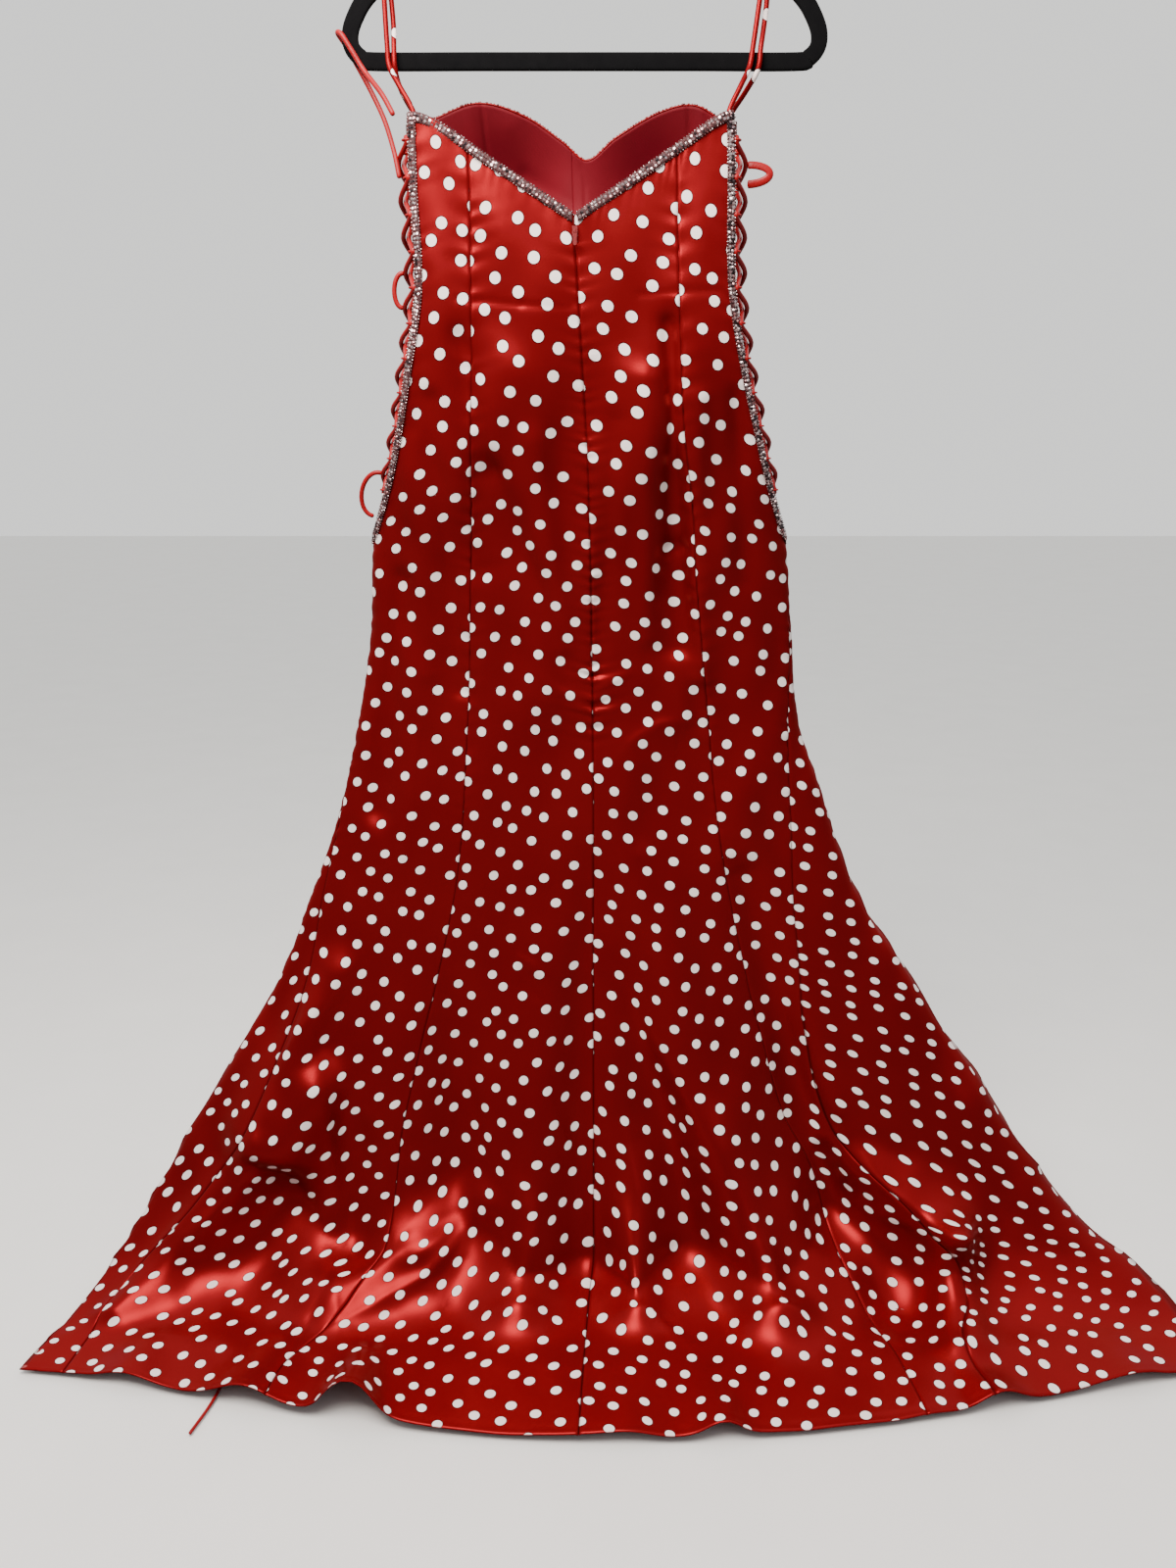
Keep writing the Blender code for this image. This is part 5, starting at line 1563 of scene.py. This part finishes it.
@dataclass
class StoneTrims:
    """The braids of rhinestones along the V and round the laced openings.

    Each is a dark tape with two strands of stones that weave through each other between two rows of
    seed beads.
    """

    cloth: Cloth
    tape: bpy.types.Material
    stones: bpy.types.Material
    thickness: float = 0.9 * MM
    stone_radius: float = 2.05 * MM
    stone_height: float = 1.5 * MM
    # the flat top of a stone, as a share of its width
    table: float = 0.55
    stone_pitch: float = 3.7 * MM
    weave: float = 1.9 * MM
    weave_length: float = 14.8 * MM
    seed_radius: float = 0.85 * MM
    seed_pitch: float = 2.9 * MM
    seed_row: float = 3.9 * MM
    seed_lift: float = 0.3 * MM
    tilt: float = 0.50
    seed_tilt: float = 0.2
    # how far the tape's back lies off the cloth, what of its thickness stands out, and its bulge
    seat: float = 0.15 * MM
    standing: float = 0.7
    bulge: float = 0.25 * MM

    @property
    def face(self) -> float:
        """How far the tape's face lies off the cloth at its edges."""
        return self.seat + self.thickness * self.standing

    def tape_mesh(self, outer: Array, inner: Array) -> bmesh.types.BMesh:
        """The tape between two edges.

        Args:
            outer: One edge's r and down, by two.
            inner: The other's.

        Returns:
            The open strip, close over the cloth.
        """
        steps = np.linspace(0.0, 1.0, 6)[None, :, None]
        grid = outer[:, None] + (inner - outer)[:, None] * steps
        bulge = self.bulge * np.sin(math.pi * steps[..., 0])
        points = self.cloth.points(grid[..., 0], grid[..., 1], self.face + bulge)
        length = run_lengths(points[:, 2])
        uv = np.stack(np.broadcast_arrays(TRIM_WIDTH * steps[..., 0], length[:, None]), -1)
        return lay_grid(points, uv)

    def stones_along(self, middle: Array, edge: Array, seed: int) -> bmesh.types.BMesh:
        """The stones and seed beads along a braid.

        Args:
            middle: The braid's middle line, as points.
            edge: One of its edges, point for point beside it.
            seed: Seed of the stones' tilt and size.

        Returns:
            The mesh of all of them.
        """
        rng = np.random.default_rng(seed)
        length = run_lengths(middle)
        along = unit(np.gradient(middle, axis=0))
        across = edge - middle
        across = unit(across - along * np.sum(across * along, axis=1, keepdims=True))
        up = np.cross(along, across)
        inward = np.array((0.5 * (middle[:, 0].min() + middle[:, 0].max()), middle[:, 1].mean() + 0.5, 0.0))
        facing = np.where(np.sum(up * (middle - inward), axis=1, keepdims=True) < 0.0, -up, up)

        def spots(
            pitch: float, side: Callable[[float], float], size: float, lift: float, wobble: float
        ) -> list[Matrix]:
            """The places of one row of stones.

            Args:
                pitch: How far apart they are.
                side: How far from the middle line each is, by its length along.
                size: Their size.
                lift: How far off the middle line they sit.
                wobble: How much they tilt.

            Returns:
                A place for each stone.
            """
            found = []
            for stop in np.arange(0.5 * pitch, length[-1] - 0.3 * pitch, pitch):
                stop = float(stop + rng.uniform(-0.12, 0.12) * pitch)
                at, a, c, u = (
                    np.array([np.interp(stop, length, line[:, k]) for k in range(3)])
                    for line in (middle, along, across, facing)
                )
                tip = u + wobble * (rng.uniform(-1, 1) * a + rng.uniform(-1, 1) * c)
                spin = a * math.cos(stop * 900.0) + c * math.sin(stop * 900.0)
                centre = at + c * side(stop) + u * lift
                found.append(framed(centre, spin, tip, size * rng.uniform(0.88, 1.1)))
            return found

        mesh = bmesh.new()
        wave = FULL_TURN / self.weave_length
        for phase in (0.0, math.pi):
            cut = bmesh.new()
            bmesh.ops.create_cone(
                cut, cap_ends=True, segments=8, radius1=1.0, radius2=self.table,
                depth=self.stone_height / self.stone_radius,
            )
            places = spots(
                self.stone_pitch, lambda s, p=phase: self.weave * math.sin(wave * s + p), self.stone_radius,
                0.55 * self.stone_height, self.tilt,
            )
            repeat(cut, places, mesh)
        for side in (-1.0, 1.0):
            seed_bead = bmesh.new()
            bmesh.ops.create_icosphere(seed_bead, subdivisions=1, radius=1.0)
            places = spots(
                self.seed_pitch, lambda s, k=side: k * self.seed_row, self.seed_radius, self.seed_lift,
                self.seed_tilt,
            )
            repeat(seed_bead, places, mesh)
        return mesh

    def finish_braid(self, name: str, outer: Array, inner: Array, seed: int) -> list[bpy.types.Object]:
        """Make one braid.

        Args:
            name: The CAD node it stands for.
            outer: One edge's r and down, by two.
            inner: The other's.
            seed: Seed of its stones.

        Returns:
            Its tape and its stones.
        """
        tape = new_piece("tape_" + name, self.tape_mesh(outer, inner))
        add_wall(tape, self.thickness)
        dress(tape, [self.tape], (name,))
        centre = 0.5 * (outer + inner)
        middle = self.cloth.points(centre[:, 0], centre[:, 1], self.face)
        edge = self.cloth.points(outer[:, 0], outer[:, 1], self.face)
        stones = new_piece("stones_" + name, self.stones_along(middle, edge, seed), 20.0)
        return [tape, dress(stones, [self.stones])]

    def build_neck(self, panels: tuple[Panel, ...]) -> list[bpy.types.Object]:
        """Make the V's two braids, which meet in a mitre at its point."""
        corner = np.array([CORNER_DOWN])
        lines = (panels[0].start, panels[1].end, panels[3].end)
        ends = [float(line(corner)[0]) for line in lines]
        pieces = []
        for name, first, last, seed in (
            ("neck_trim_left", ends[0] + 0.006, ends[1] - 0.010, 31),
            ("neck_trim_right", ends[1] + 0.014, ends[2] - 0.006, 32),
        ):
            r = np.linspace(first, last, 150)
            outer = np.stack((r, self.cloth.neck_down(r)), -1)
            inner = np.stack((r, self.cloth.neck_down(r, TRIM_WIDTH)), -1)
            pieces += self.finish_braid(name, outer, inner, seed)
        return pieces

    def build_sides(self) -> list[bpy.types.Object]:
        """Make the braids round the two laced openings, each down one edge and up the other."""
        pieces = []
        for name, side, seed in (("side_trim_left", Side.LEFT, 33), ("side_trim_right", Side.RIGHT, 34)):
            outer, inner = [], []
            nominal = np.linspace(CORNER_DOWN, OPENING_END - 4.0 * MM, 110)
            for face, toward, order in (("back", 1.0, nominal), ("front", -1.0, nominal[::-1])):
                length = np.maximum(smooth(OPENINGS, face, "down", order), 0.0)
                far = np.maximum(length - TRIM_GAP, 0.5 * MM)
                near = np.maximum(length - TRIM_WIDTH, 0.2 * MM)
                r_far = self.cloth.r_from_side(side, toward * far, order)
                r_near = self.cloth.r_from_side(side, toward * near, order)
                down = under_neck(order, self.cloth.neck_down(r_far))
                lift = np.clip(1.0 - (length - TRIM_WIDTH) / (3.0 * MM), 0.0, 1.0) * 8.0 * MM
                outer.append(np.stack((r_far, down), -1))
                inner.append(np.stack((r_near, down - lift), -1))
            pieces += self.finish_braid(name, np.concatenate(outer), np.concatenate(inner), seed)
        return pieces


@dataclass(frozen=True)
class FreeLoop:
    """A loop that hangs free of a crossing: its length down, how far it stands out and its flatness."""

    name: str
    side: Side
    crossing: int
    length: float
    reach: float
    flat: float = 1.0


@dataclass
class Lacing:
    """The narrow rouleau lace that crosses each side opening, its sewn loops, free loops and end."""

    cloth: Cloth
    satin: bpy.types.Material
    radius: float = 2.4 * MM
    tail_radius: float = 1.7 * MM
    turns: int = 11
    top: float = 0.292
    foot: float = 0.606
    gap: float = 0.9 * MM
    turn_half: float = 2.6 * MM
    crossing: float = 2.6 * MM
    loop_seat: float = 0.3 * MM
    loop_wire: float = 1.0 * MM
    # the flat bow's thinner half size, which its flatness widens
    bow_half_thickness: float = 1.5 * MM
    free_loops: tuple[FreeLoop, ...] = (
        FreeLoop("lace_loop_left", Side.LEFT, 3, 0.0314, 0.0080),
        FreeLoop("lace_bow_left", Side.LEFT, 9, 0.0440, 0.0150),
        FreeLoop("lace_bow_right", Side.RIGHT, 0, 0.0165, 0.0200, 2.4),
    )

    def clear(self, down: float, face: str) -> float:
        """Half width of the clear opening where a strand turns along the braid."""
        return float(smooth(OPENINGS, face, "down", down)) - TRIM_WIDTH - self.radius - self.gap

    def at(self, side: Side, length: float, down: float, offset: float) -> Array:
        """A point at a length round from the side line."""
        where = np.array([down])
        r = self.cloth.r_from_side(side, np.array([length]), where)
        return self.cloth.points(r, where, np.array([offset]))[0]

    def strand(self, side: Side, starts_behind: bool) -> Array:
        """The route of one of the two strands of a side's lacing."""
        points, stops = [], np.linspace(self.top, self.foot, self.turns)
        for k, down in enumerate(stops):
            behind = (k % 2 == 0) == starts_behind
            face, toward = ("back", 1.0) if behind else ("front", -1.0)
            length = toward * self.clear(down, face)
            points += [self.at(side, length, down + end * self.turn_half, 0.0) for end in (-1.0, 1.0)]
            if k < self.turns - 1:
                middle = 0.5 * (down + stops[k + 1])
                length = 0.5 * (self.clear(middle, "back") - self.clear(middle, "front"))
                points.append(self.at(side, length, middle, self.crossing * (1.0 if behind else -1.0)))
        return through(tuple(map(tuple, points)), 5)

    def sewn_loops(self, side: Side) -> list[bmesh.types.BMesh]:
        """The small covered loops on the braid that hold the strands at their turns."""
        meshes = []
        for down in np.linspace(self.top, self.foot, self.turns):
            for face, toward in (("back", 1.0), ("front", -1.0)):
                clear, ring = self.clear(down, face), self.radius + self.loop_wire + 0.1 * MM
                edge = clear + self.radius + self.gap + 1.0 * MM
                route = [self.at(side, toward * edge, down, 1.2 * MM)]
                for turn in np.radians(np.linspace(110.0, -110.0, 9)):
                    route.append(
                        self.at(side, toward * (clear - ring * math.cos(turn)), down, ring * math.sin(turn))
                    )
                route.append(self.at(side, toward * edge, down, -1.6 * MM))
                meshes.append(sweep(np.array(route), self.loop_wire, 6))
        return meshes

    def free_route(self, loop: FreeLoop) -> Array:
        """The route of a free loop: half an ellipse out from a crossing."""
        start = self.top + (loop.crossing + 0.5) * (self.foot - self.top) / (self.turns - 1)
        seat = self.crossing + self.radius + self.loop_seat
        points = []
        for t in np.linspace(0.0, math.pi, 18):
            down = start + 0.5 * loop.length * (1.0 - math.cos(t))
            middle = 0.5 * (self.clear(down, "back") - self.clear(down, "front"))
            points.append(self.at(loop.side, middle, down, seat + loop.reach * math.sin(t)))
        return np.array(points)

    def build(self) -> list[bpy.types.Object]:
        """Make the strands, the sewn loops and the free loops."""
        pieces = []
        for label, side in (("left", Side.LEFT), ("right", Side.RIGHT)):
            for strand, behind in (("a", True), ("b", False)):
                name = f"lace_{label}_{strand}"
                cord = new_piece("cord_" + name, sweep(self.strand(side, behind), self.radius, 10))
                pieces.append(dress(cord, [self.satin], (name,)))
            joined = bmesh.new()
            for mesh in self.sewn_loops(side):
                data = bpy.data.meshes.new("loop")
                mesh.to_mesh(data)
                mesh.free()
                joined.from_mesh(data)
                bpy.data.meshes.remove(data)
            pieces.append(dress(new_piece(f"sewn_loops_{label}", joined), [self.satin]))
        for loop in self.free_loops:
            half = self.radius if loop.flat == 1.0 else self.bow_half_thickness
            cord = new_piece("cord_" + loop.name, sweep(self.free_route(loop), half, 12, loop.flat))
            pieces.append(dress(cord, [self.satin], (loop.name,)))
        caught = new_piece("cord_lace_catch", sweep(through(LACE_CATCH, 8), self.radius, 10))
        pieces.append(dress(caught, [self.satin], ("lace_catch",)))
        return pieces

    def build_tail(self) -> bpy.types.Object:
        """Make the lace's free end, which runs down inside the skirt and out under its hem."""
        path = through(LACE_TAIL, 8)
        tail = new_piece("cord_lace_tail", sweep(path, self.tail_radius, 10))
        dress(tail, [self.satin], ("lace_tail",))
        return tail


@dataclass
class Straps:
    """The two spaghetti straps: rouleau cut from the dotted satin, caught over the hanger's arms."""

    satin: bpy.types.Material
    radius: float = 2.45 * MM

    def build(self) -> list[bpy.types.Object]:
        """Make both straps."""
        pieces = []
        for name, route in (("strap_left", STRAP_LEFT), ("strap_right", STRAP_RIGHT)):
            cord = new_piece("rouleau_" + name, sweep(through(route, 8), self.radius, 12))
            pieces.append(dress(cord, [self.satin], (name,)))
        return pieces


@dataclass
class Hanger:
    """A flat plastic hanger under black flock, with a steel hook."""

    flock: bpy.types.Material
    steel: bpy.types.Material
    half_height: float = 7.5 * MM
    depth: float = 6.0 * MM
    # the section's corners: 1 would be an ellipse, and 0 square
    roundness: float = 2.0 / 5.0
    least_step: float = 0.2 * MM
    hook_radius: float = 1.9 * MM
    hook_bend: float = 22.9 * MM
    hook_foot: float = -0.0990
    # the angles at which the wire's arc starts over its stem and ends, in degrees
    hook_arc: tuple[float, float] = (-42.0, 206.0)

    def build_body(self) -> bpy.types.Object:
        """Make the closed loop of bar and arms, with a rounded section."""
        half = through(HANGER_LINE, 6)
        line = np.concatenate((half[:-1], (half * (-1.0, 1.0))[:0:-1]))
        # places closer together than this would crease the section that is swept along them
        steps = np.linalg.norm(np.diff(line, axis=0), axis=1)
        line = line[np.concatenate(([True], steps > self.least_step))]
        ahead, before = np.roll(line, -1, axis=0), np.roll(line, 1, axis=0)
        along = (ahead - before) / np.linalg.norm(ahead - before, axis=1, keepdims=True)
        out = np.stack((along[:, 1], -along[:, 0]), -1)
        turns = np.linspace(0.0, FULL_TURN, 25)
        wide = self.half_height * np.sign(np.cos(turns)) * np.abs(np.cos(turns)) ** self.roundness
        deep = 0.5 * self.depth * np.sign(np.sin(turns)) * np.abs(np.sin(turns)) ** self.roundness
        line, out = np.concatenate((line, line[:1])), np.concatenate((out, out[:1]))
        flat = line[:, None] + out[:, None] * wide[None, :, None]
        points = np.stack((flat[..., 0], np.broadcast_to(deep, flat.shape[:2]), flat[..., 1]), -1)
        uv = np.stack(np.broadcast_arrays(turns * self.depth, np.arange(len(line))[:, None] * MM), -1)
        body = new_piece("flocked_hanger", lay_grid(points, uv, closed=True))
        return dress(body, [self.flock], ("hanger_body",))

    def build_hook(self) -> bpy.types.Object:
        """Make the wire hook with its rounded end."""
        centre = self.hook_radius - self.hook_bend
        angles = np.radians(np.linspace(*self.hook_arc, 60))
        arc = [(self.hook_bend * math.cos(a), 0.0, centre + self.hook_bend * math.sin(a)) for a in angles]
        stem = through(((0.0, 0.0, self.hook_foot), (0.0, 0.0, -0.060), (0.004, 0.0, -0.050), arc[0]), 8)
        path = np.concatenate((stem[:-1], np.array(arc)))
        hook = new_piece("wire_hook", sweep(path, self.hook_radius, 16))
        return dress(hook, [self.steel], ("hanger_hook",))


@dataclass
class ZipParts:
    """The zip's slider and pull tab, which keep their CAD shapes and get red enamel."""

    enamel: bpy.types.Material
    nodes: tuple[str, ...] = ("zip_slider", "zip_pull")

    def build(self, shown: dict[str, bpy.types.Object]) -> None:
        """Give the nodes their enamel."""
        for name in self.nodes:
            node = shown[name]
            node.data.materials.clear()
            node.data.materials.append(self.enamel)
            LOG.info("node %s enamelled", name)


@dataclass(frozen=True)
class SoftLight:
    """A soft square light: where it hangs, what it points at, its side, its watts and its colour."""

    name: str
    at: tuple[float, float, float]
    target: tuple[float, float, float]
    size: float
    power: float
    colour: str

    def build(self) -> None:
        """Hang the light, out of the camera's sight."""
        data = bpy.data.lights.new(self.name, "AREA")
        data.shape, data.size, data.energy = "SQUARE", self.size, self.power
        data.color = linear(self.colour)[:3]
        light = bpy.data.objects.new(self.name, data)
        light.location = self.at
        light.rotation_euler = (Vector(self.target) - Vector(self.at)).to_track_quat("-Z", "Y").to_euler()
        light.visible_camera = False
        bpy.context.scene.collection.objects.link(light)


@dataclass
class Studio:
    """A pale floor, soft light and the photograph's viewpoint."""

    floor_z: float = -1.510
    floor_half: float = 12.0
    camera_at: tuple[float, float, float] = (0.003, -1.225, -0.563)
    camera_tilt: float = math.radians(74.0)
    lens: float = 27.0
    sensor: float = 36.0
    world: str = "#e6e6e4"
    backdrop_strength: float = 1.43
    # the room is bright beyond and above the gown, and darker behind the viewer
    world_strengths: tuple[float, float] = (0.08, 1.72)
    # the grade runs along 1.5 times the height plus the depth of a direction, between these
    world_height_share: float = 1.5
    world_grade: tuple[float, float] = (-0.3, 1.5)
    lights: tuple[SoftLight, ...] = (
        SoftLight("key", (-0.32, -0.72, 0.28), (0.0, 0.0, -0.55), 0.9, 47.0, "#fff6ee"),
        SoftLight("fill", (1.3, -1.9, 0.2), (0.0, 0.0, -0.8), 1.0, 3.0, "#f2f5ff"),
    )

    def build_floor(self, paint: bpy.types.Material) -> None:
        """Lay the floor."""
        mesh = bmesh.new()
        bmesh.ops.create_grid(mesh, x_segments=24, y_segments=24, size=self.floor_half)
        bmesh.ops.translate(mesh, verts=mesh.verts, vec=(0.0, 0.0, self.floor_z))
        floor = new_piece("floor", mesh)
        floor.data.materials.append(paint)

    def build_camera(self) -> None:
        """Set the camera where the photograph was taken from."""
        data = bpy.data.cameras.new("camera")
        data.sensor_fit, data.sensor_height, data.lens = "VERTICAL", self.sensor, self.lens
        camera = bpy.data.objects.new("camera", data)
        camera.location = self.camera_at
        camera.rotation_euler = (self.camera_tilt, 0.0, 0.0)
        bpy.context.scene.collection.objects.link(camera)
        bpy.context.scene.camera = camera

    def build_world(self) -> None:
        """Light the room: an even pale backdrop to the eye, and a graded light on the gown."""
        world = bpy.data.worlds.new("studio")
        world.use_nodes = True
        tree = world.node_tree
        sky = tree.nodes["Background"]
        sky.inputs["Color"].default_value = linear(self.world)
        toward = tree.nodes.new("ShaderNodeTexCoord")
        parts = tree.nodes.new("ShaderNodeSeparateXYZ")
        graded = tree.nodes.new("ShaderNodeMapRange")
        limits = zip(("From Min", "From Max", "To Min", "To Max"), self.world_grade + self.world_strengths)
        for limit, value in limits:
            graded.inputs[limit].default_value = value
        height = tree.nodes.new("ShaderNodeMath")
        height.operation, height.inputs[1].default_value = "MULTIPLY_ADD", self.world_height_share
        tree.links.new(toward.outputs["Generated"], parts.inputs["Vector"])
        tree.links.new(parts.outputs["Z"], height.inputs[0])
        tree.links.new(parts.outputs["Y"], height.inputs[2])
        tree.links.new(height.outputs["Value"], graded.inputs["Value"])
        rays = tree.nodes.new("ShaderNodeLightPath")
        seen = tree.nodes.new("ShaderNodeMix")
        seen.inputs[3].default_value = self.backdrop_strength
        tree.links.new(rays.outputs["Is Camera Ray"], seen.inputs[0])
        tree.links.new(graded.outputs["Result"], seen.inputs[2])
        tree.links.new(seen.outputs[0], sky.inputs["Strength"])
        bpy.context.scene.world = world

    def build(self, paint: bpy.types.Material) -> None:
        """Build the whole studio."""
        self.build_world()
        self.build_floor(paint)
        for light in self.lights:
            light.build()
        self.build_camera()


def main() -> None:
    """Build the studio, the gown and its hanger around the frame."""
    logging.basicConfig(level=logging.INFO, format="%(name)s: %(message)s")
    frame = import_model()
    Studio().build(FloorPaint().build())

    satin = DottedSatin().build()
    reverse = DottedSatin(
        name="satin_reverse", ground="#85121a", ground_shade="#710d14", dot="#a04a4a", rim="#5e0c12",
        roughness=0.62, lustre=0.1,
    ).build()
    crimson = PlainCloth("polyester_lining", "#74101f", "#630b17", 0.62, 0.03, 0.12).build()
    rouleau = PlainCloth("satin_rouleau", "#ab1019", "#7c0a11", 0.40, 0.02, 0.25).build()
    tape = PlainCloth("braid_tape", "#4c1a1e", "#260c10", 0.7).build()
    cloth = Cloth()
    panels = GownPanels(cloth, satin, reverse)
    panels.build()
    BodiceLining(cloth, crimson, panels.panels()).build()
    PicotEdge(cloth, rouleau, Beads().build(), panels.panels()).build()
    trims = StoneTrims(cloth, tape, Stones().build())
    trims.build_neck(panels.panels())
    trims.build_sides()
    lacing = Lacing(cloth, rouleau)
    lacing.build()
    lacing.build_tail()
    Straps(satin).build()
    flock = Speckled(
        "black_flock", "#0c0c0e", "#030304", roughness=0.95, grain=0.5 * MM, relief=0.3 * MM, sheen=0.04,
        specular=0.08,
    ).build()
    steel = Speckled(
        "bright_drawn_steel", "#c9c9cb", "#aeaeb2", roughness=0.24, grain=0.3 * MM, relief=0.01 * MM,
        metallic=1.0,
    ).build()
    hanger = Hanger(flock, steel)
    hanger.build_body()
    hanger.build_hook()
    enamel = Speckled(
        "red_enamel", "#7d0d12", "#5d090d", roughness=0.3, grain=0.4 * MM, relief=0.02 * MM, coat=0.5
    ).build()
    ZipParts(enamel).build(frame["nodes"])
    bpy.context.view_layer.update()


if __name__ == "__main__":
    main()
